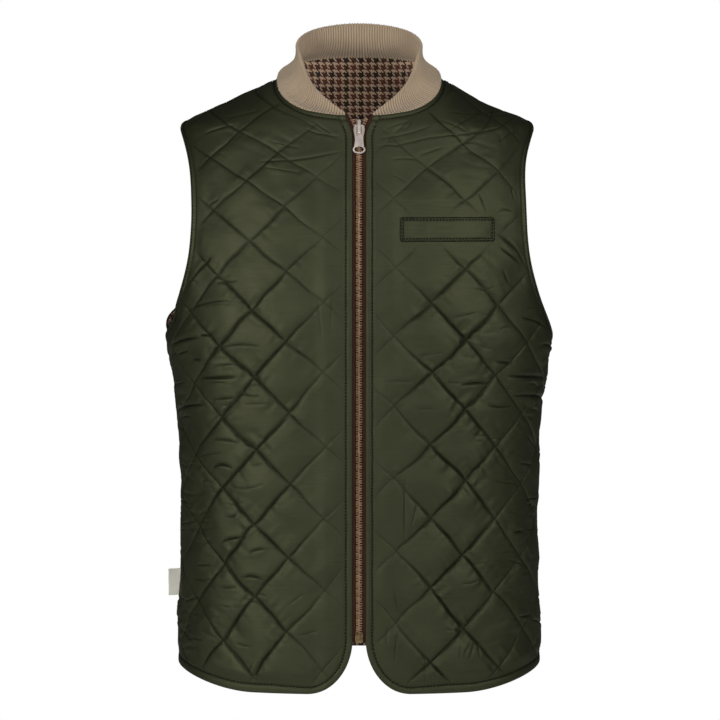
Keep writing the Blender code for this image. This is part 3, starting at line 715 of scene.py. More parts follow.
# %% [markdown]
# ## Quilting, puckers and creases
# Padding swells between the stitched lines and is pinched flat along them. It rises steeply beside a
# line and is nearly level in the middle, which is what makes the lines read as thin dark grooves. The thread
# also gathers the cloth a little, so small puckers run out from each line. Last come the creases that the
# wearer's movement presses in. The large ones are listed in a table, and small ones follow at
# random from a fixed seed, with most of them near the side seams where the vest is squeezed. Loose cloth also
# crumples there: soft shallow folds that run mostly sideways, drawn from a sum of slanted waves.
# The grooves and the crease bottoms are also darkened in the cloth's colour: painted shade.

# %% Relief of the quilted cloth
PUFF = 0.0040
PUFF_REACHES = [(0.55, 0.0015), (0.45, 0.0090)]      # share of the swelling, and how far from a line it takes
PUCKER, PUCKER_REACH, PUCKER_PITCH = 0.00030, 0.0045, 0.0065
LINE_SHADE_WIDE, LINE_UNEVEN, FULLER = 0.0016, 0.020, 0.16
CRUMPLE = ((0.00044, 0.018), (0.00024, 0.009))      # depth of the loose folds, and their least spacing
CRUMPLE_STRETCH, CRUMPLE_WIDE, CRUMPLE_MEAN = (0.45, 1.0), 0.6, 0.4
PATCH, PATCH_REACH = (-0.4, 1.2), 0.045             # the folds come in patches
CREASES = {
    # across and level of its two ends, rise of its middle, depth (millimetres)
    "front_right": [
        (187, -258, 137, -246, 3, 1.0), (168, -252, 132, -250, 1, 0.6), (204, -296, 173, -286, 1, 2.2),
        (172, -284, 158, -282, 0, 1.4), (172, -330, 131, -328, 0, 1.9), (166, -335, 142, -334, 0, 0.7),
        (150, -297, 106, -295, 3, 1.0), (197, -370, 167, -360, 2, 2.0), (156, -354, 132, -352, 1, 1.3),
        (124, -358, 96, -357, 0, 0.6), (157, -398, 130, -401, 2, 1.2), (158, -430, 135, -430, 5, 1.9),
        (171, -416, 146, -412, 0, 0.7), (202, -342, 188, -336, 0, 1.0), (180, -310, 170, -310, 0, 1.1),
        (175, -432, 162, -428, 1, 0.7), (140, -448, 103, -445, -4, 0.7), (144, -483, 129, -480, 0, 0.9),
        (148, -511, 122, -505, 2, 1.6), (119, -522, 98, -516, 2, 1.2), (127, -550, 103, -551, 4, 1.5),
        (151, -561, 131, -560, 0, 0.9), (125, -572, 101, -576, 0, 0.6), (76, -577, 60, -565, 0, 0.5),
        (65, -611, 44, -605, 0, 0.7), (133, -622, 118, -625, 0, 0.9), (176, -539, 160, -538, 0, 1.0),
        (196, -305, 185, -301, 0, 1.2), (199, -471, 180, -472, 1, 0.9), (192, -497, 175, -490, 0, 0.8),
        (191, -584, 172, -574, 1, 0.8), (187, -623, 168, -621, 1, 0.8), (107, -95, 19, -85, -3, 0.9),
        (60, -59, 21, -69, -2, 0.8), (52, -50, 28, -67, 0, 0.6), (106, -101, 62, -108, 0, 0.5),
        (163, -142, 151, -136, 0, 0.9), (190, -237, 159, -199, 1, 1.7), (197, -243, 179, -217, 0, 1.1),
        (95, -74, 64, -81, 0, 0.5), (144, -50, 106, -41, 0, 0.7), (168, -65, 135, -56, 1, 0.8),
        (45, -240, 40, -285, 0, 0.4), (28, -233, 31, -279, 0, 0.4),
    ],
    "front_left": [
        (146, -312, 167, -314, 0, 1.9), (160, -328, 201, -332, 0, 2.4), (108, -337, 140, -336, 2, 2.0),
        (164, -350, 201, -359, 2, 2.3), (137, -359, 166, -360, -2, 1.3), (94, -334, 109, -334, 0, 0.7),
        (26, -332, 58, -332, 0, 0.5), (59, -305, 90, -301, 0, 0.5), (175, -265, 204, -279, 2, 1.5),
        (197, -294, 212, -300, 0, 1.5), (99, -264, 129, -258, 0, 0.5), (63, -362, 80, -362, 0, 0.5),
        (49, -438, 49, -506, 0, 0.9), (56, -491, 62, -466, 0, 0.8), (50, -529, 51, -545, 0, 0.6),
        (37, -558, 42, -585, 0, 0.7), (31, -601, 29, -622, 0, 0.6), (41, -607, 38, -639, 0, 0.7),
        (71, -630, 71, -669, 0, 0.5), (112, -634, 121, -616, 0, 0.7), (118, -639, 124, -622, 0, 0.6),
        (107, -638, 109, -621, 0, 0.5), (130, -638, 128, -619, 0, 0.6), (166, -502, 177, -501, 0, 1.8),
        (173, -596, 187, -597, 0, 1.5), (188, -602, 199, -612, 0, 1.3), (180, -467, 193, -467, 0, 1.1),
        (174, -426, 189, -431, 1, 1.0), (181, -396, 191, -410, 0, 1.2), (138, -398, 160, -396, 1, 0.6),
        (143, -442, 168, -447, -1, 0.6), (160, -532, 179, -540, 1, 0.7), (95, -43, 168, -38, 2, 1.0),
        (126, -41, 179, -47, 1, 0.9), (100, -59, 137, -38, 2, 1.1), (119, -61, 174, -48, -1, 1.0),
        (76, -71, 133, -57, -1, 0.9), (30, -60, 58, -51, 1, 0.8), (51, -60, 62, -47, 0, 0.7),
        (21, -71, 78, -57, -2, 0.7), (35, -79, 89, -67, 0, 0.8), (65, -89, 90, -80, 0, 0.7),
        (35, -94, 65, -94, 2, 0.6), (15, -82, 47, -80, 3, 0.7), (36, -110, 52, -117, 0, 0.4),
        (148, -172, 181, -210, 3, 1.9), (151, -186, 173, -205, -1, 1.4), (129, -129, 139, -153, 0, 0.9),
        (148, -153, 165, -149, 4, 0.8), (36, -152, 46, -160, 0, 0.8), (151, -69, 177, -60, 1, 0.7),
        (155, -212, 161, -228, 0, 0.6), (86, -51, 117, -60, 1, 0.7), (105, -77, 123, -70, 1, 0.5),
        (166, -123, 168, -136, 0, 0.6),
    ],
    "back": [
        (108, -331, 152, -329, 4, 1.8), (-144, -350, -96, -354, 3, 1.7), (147, -399, 183, -401, 3, 2.0),
        (-186, -302, -150, -298, 2, 2.0), (24, -421, 76, -419, 4, 1.2), (-88, -454, -32, -456, 4, 1.3),
        (130, -482, 170, -478, 3, 1.6), (-170, -504, -134, -506, 3, 1.6), (75, -99, 125, -111, 3, 1.1),
        (-133, -100, -87, -90, 3, 1.1), (-189, -431, -161, -429, 2, 1.8), (164, -299, 192, -301, 2, 1.8),
        (40, -560, 84, -557, 3, 0.9), (-96, -600, -52, -603, -3, 0.8), (-30, -250, 26, -247, 4, 0.7),
    ],
}
SMALL_CREASES = {"front_right": 36, "front_left": 36, "back": 80}
SMALL_LEVELS, SMALL_SIZES, SMALL_TILT, SMALL_RISE = (-0.64, -0.22), (0.2, 1.0), 0.16, (0.0005, 0.0015)
SHALLOWER, SHALLOW_LEVEL = 0.20, (-0.14, -0.11)       # creases by the left shoulder are softer
CREASE_STEP, DEEP = 0.0024, 0.0007
CREASE_ROWS, SMALL_ROWS = (-0.0021, -0.0009, 0.0, 0.0009, 0.0021), (-0.0012, 0.0, 0.0012)
CREASE_WIDE, CREASE_SPREAD, CREASE_POINT, VALLEY_POWER = 0.0008, 0.30, 0.6, 1.3
RIDGES = (
    # height as a share of the depth, then place and width as shares of the valley's width
    (0.25, 3.0, 2.4), (0.35, -2.6, 1.9),
)
# Painted shade at the crease bottoms: how dark, and the crease depth from which it is full.
CREASE_PAINTED_SHADE, SHADE_FULL_DEPTH = 0.8, 0.0016


def crease_line(start, end, rise, depth):
    """One crease by its flat ends: start, unit run, length, unit step across, rise of its middle, depth."""
    run = end - start
    length = float(np.hypot(*run))
    run = run / length
    across = np.array([-run[1], run[0]])
    across = across if across[1] >= 0 else -across
    return {"start": start, "run": run, "length": length, "across": across, "rise": rise, "depth": depth}


def crease(flat, line):
    """A thin pressed-in line with a soft ridge on each side of it: its height, and the painted shade in its
    bottom.
    """
    high, dark = np.zeros(len(flat)), np.zeros(len(flat))
    to = flat - line["start"]
    share = to @ line["run"] / line["length"]
    near = (share > 0) & (share < 1)
    share = share[near]
    swing = 4 * share * (1 - share)
    off = to[near] @ line["across"] - line["rise"] * swing
    wide = CREASE_WIDE + CREASE_SPREAD * line["depth"]
    profile = -np.exp(-(np.abs(off) / wide) ** VALLEY_POWER)
    for tall, middle, reach in RIDGES:
        profile = profile + tall * np.exp(-((off - middle * wide) / (reach * wide)) ** 2)
    taper = swing ** CREASE_POINT
    high[near] = line["depth"] * taper * profile
    # Painted shade in the crease bottom, for the shader to darken the colour with.
    dark[near] = CREASE_PAINTED_SHADE * min(1.0, line["depth"] / SHADE_FULL_DEPTH) * taper * np.exp(-(off / wide) ** 2)
    return high, dark


def crumple(seed, flat):
    """Loose folds that run mostly sideways: soft valleys where a smooth random function is near zero."""
    patch = fade(*PATCH, wave_noise(seed + 9, PATCH_REACH)(flat))
    folds = 0.0
    for k, (depth, reach) in enumerate(CRUMPLE):
        level = wave_noise(seed + k, reach)(flat * CRUMPLE_STRETCH)
        folds = folds + depth * (CRUMPLE_MEAN - np.exp(-(level / CRUMPLE_WIDE) ** 2))
    return patch * folds


def crease_points(line):
    """Flat points along a crease and beside it, for the mesh to follow."""
    share = np.linspace(0, 1, max(4, round(line["length"] / CREASE_STEP)))[1:-1]
    rows = CREASE_ROWS if line["depth"] > DEEP else SMALL_ROWS
    along = line["start"] + share[:, None] * line["run"] * line["length"]
    middle = along + (line["rise"] * 4 * share * (1 - share))[:, None] * line["across"]
    return np.concatenate([middle + off * line["across"] for off in rows])


def crease_lines(name, behind):
    """The creases of a panel: those listed in the table, then small ones from a fixed seed."""
    lines = []
    for first_x, first_z, last_x, last_z, rise, depth in CREASES[name]:
        ends = []
        for across, level in ((first_x / 1000, first_z / 1000), (last_x / 1000, last_z / 1000)):
            turn = turn_through(level, behind, across=abs(across))
            along = float(along_at(turn, level, behind)[0]) * (1 if across > 0 else -1)
            ends.append(np.array([along, height_of(level)]))
        if name == "front_left":
            depth = depth * (1 - SHALLOWER * fade(*SHALLOW_LEVEL, max(first_z, last_z) / 1000))
        lines.append(crease_line(*ends, rise / 1000, depth / 1000))
    draw = np.random.default_rng(11 + len(name) + (3 if name.endswith("left") else 0))
    for _ in range(SMALL_CREASES[name]):
        level = draw.uniform(*SMALL_LEVELS)
        along = (1 - 0.6 * draw.uniform(0, 1) ** 1.4) * float(side_length(level, behind))
        along = along * (draw.choice([-1, 1]) if behind else 1)
        size, tilt = draw.uniform(*SMALL_SIZES), draw.normal(0, SMALL_TILT)
        middle = np.array([along, height_of(level)])
        reach = (0.005 + 0.010 * size) * np.array([math.cos(tilt), math.sin(tilt)])
        rise, depth = draw.normal(*SMALL_RISE), 0.0003 + 0.0005 * size
        lines.append(crease_line(middle - reach, middle + reach, rise, depth))
    return lines


def swelling(away):
    rise = sum(share * (1 - np.exp(-away / reach)) for share, reach in PUFF_REACHES)
    return rise / sum(share * (1 - math.exp(-LINE_APART / 2 / reach)) for share, reach in PUFF_REACHES)


def quilting(name, flat, share):
    """Height of the padding between the quilting lines, and the painted shade along each line (0 to 1),
    strongest on a line.
    """
    up, down = lattice_numbers(name, flat)
    cell = np.floor(up).astype(int) * 57 + np.floor(down).astype(int) * 131
    fuller = 1 + FULLER * np.sin(cell * 1.7)
    swell, groove_shade, pucker = 1.0, 0.0, 0.0
    for mine, other, seed in ((up, down, 5), (down, up, 8)):
        nearest_line = np.round(mine)
        away = np.abs(mine - nearest_line) * LINE_APART
        swell = swell * swelling(away)
        run = np.column_stack([other * LINE_APART, nearest_line * 0.37 + np.sign(mine - nearest_line) * 0.11])
        uneven = wave_noise(seed + 3, LINE_UNEVEN)(run)
        # Painted shade along each quilting groove, for the shader to darken the colour with.
        groove_shade = np.maximum(groove_shade, np.exp(-(away / LINE_SHADE_WIDE) ** 2) * np.clip(0.85 + 0.25 * uneven, 0, 1))
        beside = (away / PUCKER_REACH) * np.exp(1 - away / PUCKER_REACH) * np.clip(0.9 + 0.7 * uneven, 0.2, 2)
        pucker = pucker + PUCKER * beside * wave_noise(seed, PUCKER_PITCH)(run)
    return (PUFF * fuller * swell + pucker) * share, groove_shade


print("creases placed by hand:", {word: len(rows) for word, rows in CREASES.items()})

# %% [markdown]
# ## Sewing a panel on
# A shell panel is one sheet. Its height over the body is the sum of what a maker does to it: padding between
# the quilting lines, a topstitched band along the finished edges, a sunken line at each seam, creases, loose
# crumples, and a rounded edge that turns under to meet the lining. At the zip the edge rides on the tape
# below it. The padding is fuller low down and flatter by the zip, the sides and the chest pocket, as shown.
# The cloth's colour is also darkened along the quilting lines, the stitch rows and the crease bottoms: painted
# shade.

# %% Shell panels
PANELS = {
    # name: cut, whether it lies behind, side of the body
    "front_right": ("front", False, -1),
    "front_left": ("front", False, 1),
    "back": ("back", True, 1),
}
SHELL_IN, SHELL, EDGE_LIFT, TAPE_COVER = 0.0015, 0.0018, 0.0017, (0.033, 0.050)
EDGE_ROUND, EDGE_LOW, SEAM_SINK, SEAM_WIDE, SEAM_FLAT = 0.0017, 0.0016, 0.0017, 0.0030, 0.012
STITCH_SINK, STITCH_WIDE, BAND_RISE, BAND_FLAT = 0.0010, 0.0012, 0.0004, (0.0005, 0.015)
# The first two numbers are how dark the painted shade along a stitch row is, and its share at the armholes.
STITCH_PAINTED_SHADE, ARMHOLE_SHADE_SHARE, HEM_FROM = 0.62, 0.5, (0.05, 0.10)
TURN_UNDER, TURN_IN, EDGE_CLEAR = 0.0022, 0.0003, 0.0033
WELT_ALONG, WELT_LEVEL, WELT_FLAT = (0.044, 0.150), (-0.182, -0.155), (0.001, 0.020)
WAVINESS, WAVE_REACH = 0.0005, 0.03
SQUEEZED, SQUEEZED_FROM, SQUEEZED_BACK = (0.15, 0.85), (0.06, 0.15), 0.8
SIDE_SQUEEZE, SIDE_FROM, SIDE_BELOW = 1.3, (0.125, 0.185), (-0.34, -0.26)
EDGE_CREASE = 0.15
GRID_COUNT, CROWD = {"front_right": 16, "front_left": 16, "back": 11}, 0.5
NEAR_CREASE, NEAR_LINE = 0.0011, 0.0016
LOFT = {"front_right": 1.0, "front_left": 1.35, "back": 1.0}
FLATTER = {"front_right": 0.55, "front_left": 0.68, "back": 0.25}
FLATTER_LEVEL = {"front_right": (-0.29, -0.17), "front_left": (-0.29, -0.17), "back": (-0.11, -0.05)}
# Painted shade of the quilting lines: the third number on the next line is its share by the zip, and the line
# fade and line loss below weaken it towards the sides.
ZIP_FLAT, ZIP_LOFT, ZIP_LINE_SHADE = (0.025, 0.095), 0.28, 0.15
SIDE_FADE = {"front_right": (0.130, 0.200), "front_left": (0.110, 0.175), "back": (0.110, 0.175)}
LINE_SHADE_FADE = {"front_right": (0.160, 0.215), "front_left": (0.120, 0.185), "back": (0.115, 0.175)}
SIDE_LOSS, LINE_SHADE_LOSS = 0.60, 0.75
PIECES = {}


def add_piece(name, points, faces, cloth=None):
    """A smooth-shaded mesh object. The shaders read its flat coordinates from the cloth attribute."""
    mesh = bpy.data.meshes.new(name)
    mesh.from_pydata(np.asarray(points).tolist(), [], [list(map(int, f)) for f in faces])
    mesh.shade_smooth()
    if cloth is not None:
        stored = mesh.attributes.new("cloth", "FLOAT_VECTOR", "POINT")
        stored.data.foreach_set("vector", np.ascontiguousarray(cloth, dtype=np.float32).ravel())
    piece = bpy.data.objects.new(name, mesh)
    bpy.context.scene.collection.objects.link(piece)
    PIECES[name] = piece
    return piece


def stitch_in(word, flat):
    """How far in from an edge its row of topstitching runs, or None for a plain seam."""
    kind = word.split("_")[0]
    if kind == "front":
        return STITCH_IN["front"] + (STITCH_IN["hem"] - STITCH_IN["front"]) * fade(*HEM_FROM, flat[:, 0])
    return STITCH_IN.get(kind)


def rest_height(flat, behind):
    """Height of the cloth's top before anything is done to it. The front edges ride on the zip tape."""
    past = np.abs(flat[:, 0]) - spread(level_of(flat[:, 1]))
    lift = 0.0 if behind else EDGE_LIFT * (1 - fade(*TAPE_COVER, past))
    return SHELL_IN + SHELL + lift


def welt_away(flat):
    """Distance outside the chest pocket's welt, 0 under it."""
    low, high = height_of(np.array(WELT_LEVEL))
    across = np.maximum(WELT_ALONG[0] - flat[:, 0], flat[:, 0] - WELT_ALONG[1])
    upward = np.maximum(low - flat[:, 1], flat[:, 1] - high)
    return np.hypot(np.maximum(across, 0), np.maximum(upward, 0))


def puffing(name, flat, behind):
    """How full the padding is and how strong the painted shade along its lines is: little by the zip, and
    little higher up.
    """
    level, past = level_of(flat[:, 1]), np.abs(flat[:, 0])
    upper = 1 - FLATTER[name] * fade(*FLATTER_LEVEL[name], level)
    by_zip = 1.0 if behind else fade(*ZIP_FLAT, past)
    full = LOFT[name] * upper * (ZIP_LOFT + (1 - ZIP_LOFT) * by_zip)
    full = full * (1 - SIDE_LOSS * fade(*SIDE_FADE[name], past))
    # seen is how strong the painted shade along the quilting lines is.
    seen = np.sqrt(upper) * (ZIP_LINE_SHADE + (1 - ZIP_LINE_SHADE) * by_zip)
    return full, seen * (1 - LINE_SHADE_LOSS * fade(*LINE_SHADE_FADE[name], past))


def relief(name, flat, away, behind, creases):
    """Height of the worked cloth over its rest height, and the painted shade for the shader: quilting grooves,
    stitch rows and crease bottoms.
    """
    soft, rows, edge, sewn = 1.0, 0.0, 1.0, 0.0
    for word, gap in away.items():
        line = stitch_in(word, flat)
        if line is None:
            soft = soft * fade(0, SEAM_FLAT, gap)
            rows = rows - SEAM_SINK * np.exp(-(gap / SEAM_WIDE) ** 2)
            continue
        soft = soft * fade(line + BAND_FLAT[0], line + BAND_FLAT[1], gap)
        row = np.exp(-((gap - line) / STITCH_WIDE) ** 2)
        # Painted shade along each topstitched row, for the pits of its stitches; half as strong at the
        # armholes.
        sewn = np.maximum(sewn, (ARMHOLE_SHADE_SHARE if word.startswith("armhole") else 1.0) * STITCH_PAINTED_SHADE * row)
        rows = rows - STITCH_SINK * row
        rows = rows + BAND_RISE * np.sin(math.pi * np.clip(gap / line, 0, 1))
        turn = np.clip(gap / EDGE_ROUND, 0, 1)
        edge = np.minimum(edge, np.sqrt(1 - (1 - turn) ** 2))
    if name == "front_left":
        soft = soft * fade(*WELT_FLAT, welt_away(flat))
    full, seen = puffing(name, flat, behind)
    puffed, groove_shade = quilting(name, flat, soft * full)
    squeezed = SQUEEZED_BACK if behind else SQUEEZED[0] + SQUEEZED[1] * fade(*SQUEEZED_FROM, flat[:, 0])
    below = 1 - fade(*SIDE_BELOW, level_of(flat[:, 1]))
    squeezed = squeezed + SIDE_SQUEEZE * fade(*SIDE_FROM, np.abs(flat[:, 0])) * below
    waves = WAVINESS * wave_noise(len(name), WAVE_REACH)(flat) + squeezed * crumple(60 + len(name), flat)
    waves = waves * soft
    # dark is painted shade: the quilting grooves and stitch rows here, the crease bottoms below.
    dark = np.maximum(groove_shade * seen * soft, sewn)
    pressed = 0.0
    for line in creases:
        depth, shade = crease(flat, line)
        pressed = pressed + depth
        dark = np.maximum(dark, shade * soft)
    pressed = pressed * (EDGE_CREASE + (1 - EDGE_CREASE) * soft)
    return puffed + waves + pressed + rows - EDGE_LOW * (1 - edge), dark


def rim(faces):
    """Boundary edges of a triangle mesh, in the direction their faces run."""
    runs = np.concatenate([faces[:, [0, 1]], faces[:, [1, 2]], faces[:, [2, 0]]])
    keys = np.sort(runs, axis=1)
    _, which, count = np.unique(keys, axis=0, return_inverse=True, return_counts=True)
    return runs[count[which.ravel()] == 1]


def panel_points(name, outline, creases):
    """Inner points of a panel: a grid along the quilting lines, and rows along the creases between them."""
    pressed = np.concatenate([crease_points(line) for line in creases])
    off = np.min([np.abs(n - np.round(n)) for n in lattice_numbers(name, pressed)], axis=0) * LINE_APART
    pressed = pressed[off > NEAR_LINE]
    tree = KDTree(len(pressed))
    for k, spot in enumerate(pressed):
        tree.insert((*spot, 0), k)
    tree.balance()
    grid = slanted_grid(name, outline, GRID_COUNT[name], CROWD)
    free = np.array([tree.find((*spot, 0))[2] > NEAR_CREASE for spot in grid])
    return np.concatenate([grid[free], pressed])


def shell_panel(name, edges, behind, side):
    outline = outline_of(edges)
    creases = crease_lines(name, behind)
    flat, faces = fill(outline, panel_points(name, outline, creases), EDGE_CLEAR)
    gaps = [nearest(flat, line)[0] for line in edges.values()]
    values, faces = split_in_four(np.column_stack([flat, *gaps]), faces)
    flat, away = values[:, :2], dict(zip(edges, values[:, 2:].T))
    # The second result is the painted shade of grooves, stitch rows and creases; it is stored with the flat
    # coordinates below.
    high, line = relief(name, flat, away, behind, creases)
    high = high + rest_height(flat, behind)
    points, normals = place(flat, high, behind, side)
    border = rim(faces)
    turned = np.unique(border)
    number = np.full(len(points), -1)
    number[turned] = len(points) + np.arange(len(turned))
    closest = nearest(flat[turned], np.vstack([outline, outline[:1]]))[1] * len(outline)
    inward = inset(outline, 0.0)[1][closest.round().astype(int) % len(outline)]
    under = flat[turned] + inward * TURN_UNDER
    tucked = place(under, rest_height(under, behind) - SHELL - TURN_IN, behind, side)[0]
    strip = [(b, a, number[a], number[b]) for a, b in border]
    cloth = np.concatenate([np.column_stack([flat, line]), np.column_stack([under, np.zeros(len(under))])])
    faces = [[int(k) for k in (face[::-1] if side < 0 else face)] for face in [*faces, *strip]]
    add_piece(name + "_shell", np.concatenate([points, tucked]), faces, cloth)
    print(name, len(faces), "faces")
    return BVHTree.FromPolygons(points.tolist(), faces[:len(faces) - len(strip)])


FINISHED = {name: shell_panel(name, CUT[word], behind, side) for name, (word, behind, side) in PANELS.items()}

# %% [markdown]
# ## Lining
# The reverse face is a plain woven cloth, not quilted. It hangs a little slack inside the shell and comes up
# to meet the shell's turned edge, so both layers read at the armholes, hem and neck.

# %% Lining panels
LINING, LINING_EDGE, LINING_SLACK = 0.0012, 0.0010, 0.0011
LINING_COUNT, LINING_CLEAR, LINING_BACK_FROM_EDGE = 7, 0.0040, 0.0005
LINING_WAVES, LINING_REACH, WAVES_FROM = 0.0012, 0.05, (0.01, 0.06)
LINING_ROLL, SLACK_FROM = (0, 0.003), (0, 0.02)
SEAMS = ("side", "shoulder")
BACK_HEIGHTS = run_length(np.column_stack([RUNGS, section(RUNGS)[2]]))      # up the middle of the back


def lining_outline(edges):
    """The shell's outline, a little smaller at its finished edges and the same at its seams."""
    back = []
    for word, line in edges.items():
        seam = word.split("_")[0] in SEAMS
        back.append(np.full(len(line) - 1, 0.0 if seam else LINING_BACK_FROM_EDGE))
    return inset(outline_of(edges), np.concatenate(back))[0]


def lining_panel(name, edges, behind, side):
    outline = lining_outline(edges)
    flat, faces = fill(outline, slanted_grid("lining", outline, LINING_COUNT, 0.0), LINING_CLEAR)
    gap = nearest(flat, np.vstack([outline, outline[:1]]))[0]
    values, faces = split_in_four(np.column_stack([flat, gap]), faces)
    flat, gap = values[:, :2], values[:, 2]
    waves = LINING_WAVES * np.abs(wave_noise(40 + len(name), LINING_REACH)(flat)) * fade(*WAVES_FROM, gap)
    high = LINING_EDGE - LINING * fade(*LINING_ROLL, gap) - LINING_SLACK * fade(*SLACK_FROM, gap) - waves
    points = place(flat, high, behind, side)[0]
    if side > 0:
        faces = faces[:, ::-1]
    up = np.interp(level_of(flat[:, 1]), RUNGS, BACK_HEIGHTS) if behind else flat[:, 1]
    return add_piece(name, points, faces, np.column_stack([flat[:, 0], up, gap]))


LININGS = {"front_right": "lining_right", "front_left": "lining_left", "back": "lining_rear"}
for shell, (word, behind, side) in PANELS.items():
    name = LININGS[shell]
    print(lining_panel(name, CUT[word], behind, side).name, "made")

# %% [markdown]
# ## Chest pocket welt
# The pocket is a narrow folded strip sewn on all round, with two rows of stitches. It lies flat on the chest,
# so it has no padding of its own. Its rim rolls down to the cloth below. A dark line along its top is a painted
# shadow for the pocket opening, and painted shade darkens its colour along the stitch rows.

# %% Welt
WELT_RISE, WELT_ROUND, WELT_CORNER = 0.0022, 0.0014, 0.0012
WELT_STITCH, WELT_STITCH_WIDE, WELT_SINK = (0.0011, 0.0034), 0.0008, 0.0005
WELT_STEP, WELT_EDGE_STEP, WELT_CLEAR, WELT_BEDDED = 0.0012, 0.0018, 0.0027, 0.0006
# The last number here and those on the next line are the width and span of the painted shadow at the pocket
# opening.
WELT_WAVES, WELT_REACH, MOUTH_SHADOW_WIDE = 0.00025, 0.012, 0.0014
MOUTH_SHADOW_FROM, MOUTH_SHADOW_TO = (0.050, 0.056), (0.100, 0.112)


def welt_outline():
    low, high = height_of(np.array(WELT_LEVEL))
    left, right = WELT_ALONG
    lean = np.linspace(0, math.pi / 2, 6)
    arc = np.column_stack([np.sin(lean), np.cos(lean)]) * WELT_CORNER
    middle = [(right, high, 1, 1), (right, low, 1, -1), (left, low, -1, -1), (left, high, -1, 1)]
    corners = []
    for k, (x, y, sx, sy) in enumerate(middle):
        turned = arc if k % 2 == 0 else arc[::-1]
        corners.append(turned * (sx, sy) + (x - sx * WELT_CORNER, y - sy * WELT_CORNER))
    line = np.concatenate(corners)
    return evenly(np.vstack([line, line[:1]]), WELT_EDGE_STEP)[:-1]


def chest_welt():
    outline = welt_outline()
    low, high = outline.min(axis=0), outline.max(axis=0)
    spots = np.meshgrid(*[np.arange(a, b, WELT_STEP) for a, b in zip(low, high)])
    flat, faces = fill(outline, np.column_stack([s.ravel() for s in spots]), WELT_CLEAR)
    gap = nearest(flat, np.vstack([outline, outline[:1]]))[0]
    rise = WELT_RISE * np.sqrt(1 - (1 - np.clip(gap / WELT_ROUND, 0, 1)) ** 2)
    rows = [np.exp(-((gap - row) / WELT_STITCH_WIDE) ** 2) for row in WELT_STITCH]
    for row in rows:
        rise = rise - WELT_SINK * row
    rise = rise + WELT_WAVES * wave_noise(71, WELT_REACH)(flat) * fade(0, 0.004, gap)
    points = place(flat, rest_height(flat, False) + rise - WELT_BEDDED)[0]
    # Painted shadow: a dark line along the top edge stands in for the shadow in the pocket opening.
    mouth_shadow = np.exp(-((high[1] - flat[:, 1]) / MOUTH_SHADOW_WIDE) ** 2)
    mouth_shadow = mouth_shadow * fade(*MOUTH_SHADOW_FROM, flat[:, 0]) * (1 - fade(*MOUTH_SHADOW_TO, flat[:, 0]))
    # Painted shade along the stitch rows and the painted shadow at the top, for the shader to darken the colour
    # with.
    dark = np.maximum(STITCH_PAINTED_SHADE * np.max(rows, axis=0), mouth_shadow)
    piece = add_piece("welt", points, faces, np.column_stack([flat, dark]))
    tree = BVHTree.FromPolygons(points.tolist(), faces.tolist())
    return piece, tree, outline


WELT, WELT_TREE, WELT_LINE = chest_welt()
print("welt:", len(WELT.data.polygons), "faces")

# %% [markdown]
# ## Rib collar
# The collar is a knitted band folded double, with its fold at the top and both raw edges sewn into the neck.
# Ribs are real ridges here, because they catch the light and their ends notch the outline. At the front the
# band tapers to a point. It is made as columns round the neck, each a cross-section from the sewn edge up the
# outside, over the fold and down the inside.

# %% Collar
COLLAR_HEIGHT, COLLAR_WALL, COLLAR_SEAT, COLLAR_CLEAR = 0.039, 0.0030, 0.0025, 0.0017
COLLAR_BOW, COLLAR_EVEN, RIB_PITCH, RIB_RAISE = 0.0085, 0.09, 0.0034, 0.0007
COLLAR_ENDS = np.array([
    # distance from the end of the band, and its height there
    (0, 0.0012), (0.007, 0.0080), (0.017, 0.0155), (0.045, 0.031), (0.075, 0.0375), (0.105, 0.0385),
    (0.215, 0.0356), (0.250, 0.0362), (0.282, 0.0375),
])
COLLAR_LEAN = np.array([(0, 20), (90, 34), (135, 45), (180, 52.0)])       # turn from the back, lean inward
COLLAR_TUCK, TUCK_OUTSIDE, TUCK_INSIDE = 0.0060, 0.0013, 0.0010
COLLAR_PINCH, PINCH_REACH, RIB_ROUND, RIB_UNEVEN = 0.6, 0.003, 0.7, 0.12
RIB_COLUMNS, COLLAR_ROWS, FOLD_ROWS = 8, 12, 5


def evened(points, reach):
    """Points along a line, each evened out over its neighbours, with both ends kept."""
    weight = np.hanning(2 * reach + 3)[1:-1]
    ahead = 2 * points[0] - points[reach:0:-1]
    beyond = 2 * points[-1] - points[-2:-reach - 2:-1]
    long = np.concatenate([ahead, points, beyond])
    return np.column_stack([np.convolve(row, weight / weight.sum(), "valid") for row in long.T])


def grid_faces(rows, columns):
    corner = np.array([(r * columns + c) for r in range(rows - 1) for c in range(columns - 1)])
    return np.column_stack([corner, corner + 1, corner + columns + 1, corner + columns])


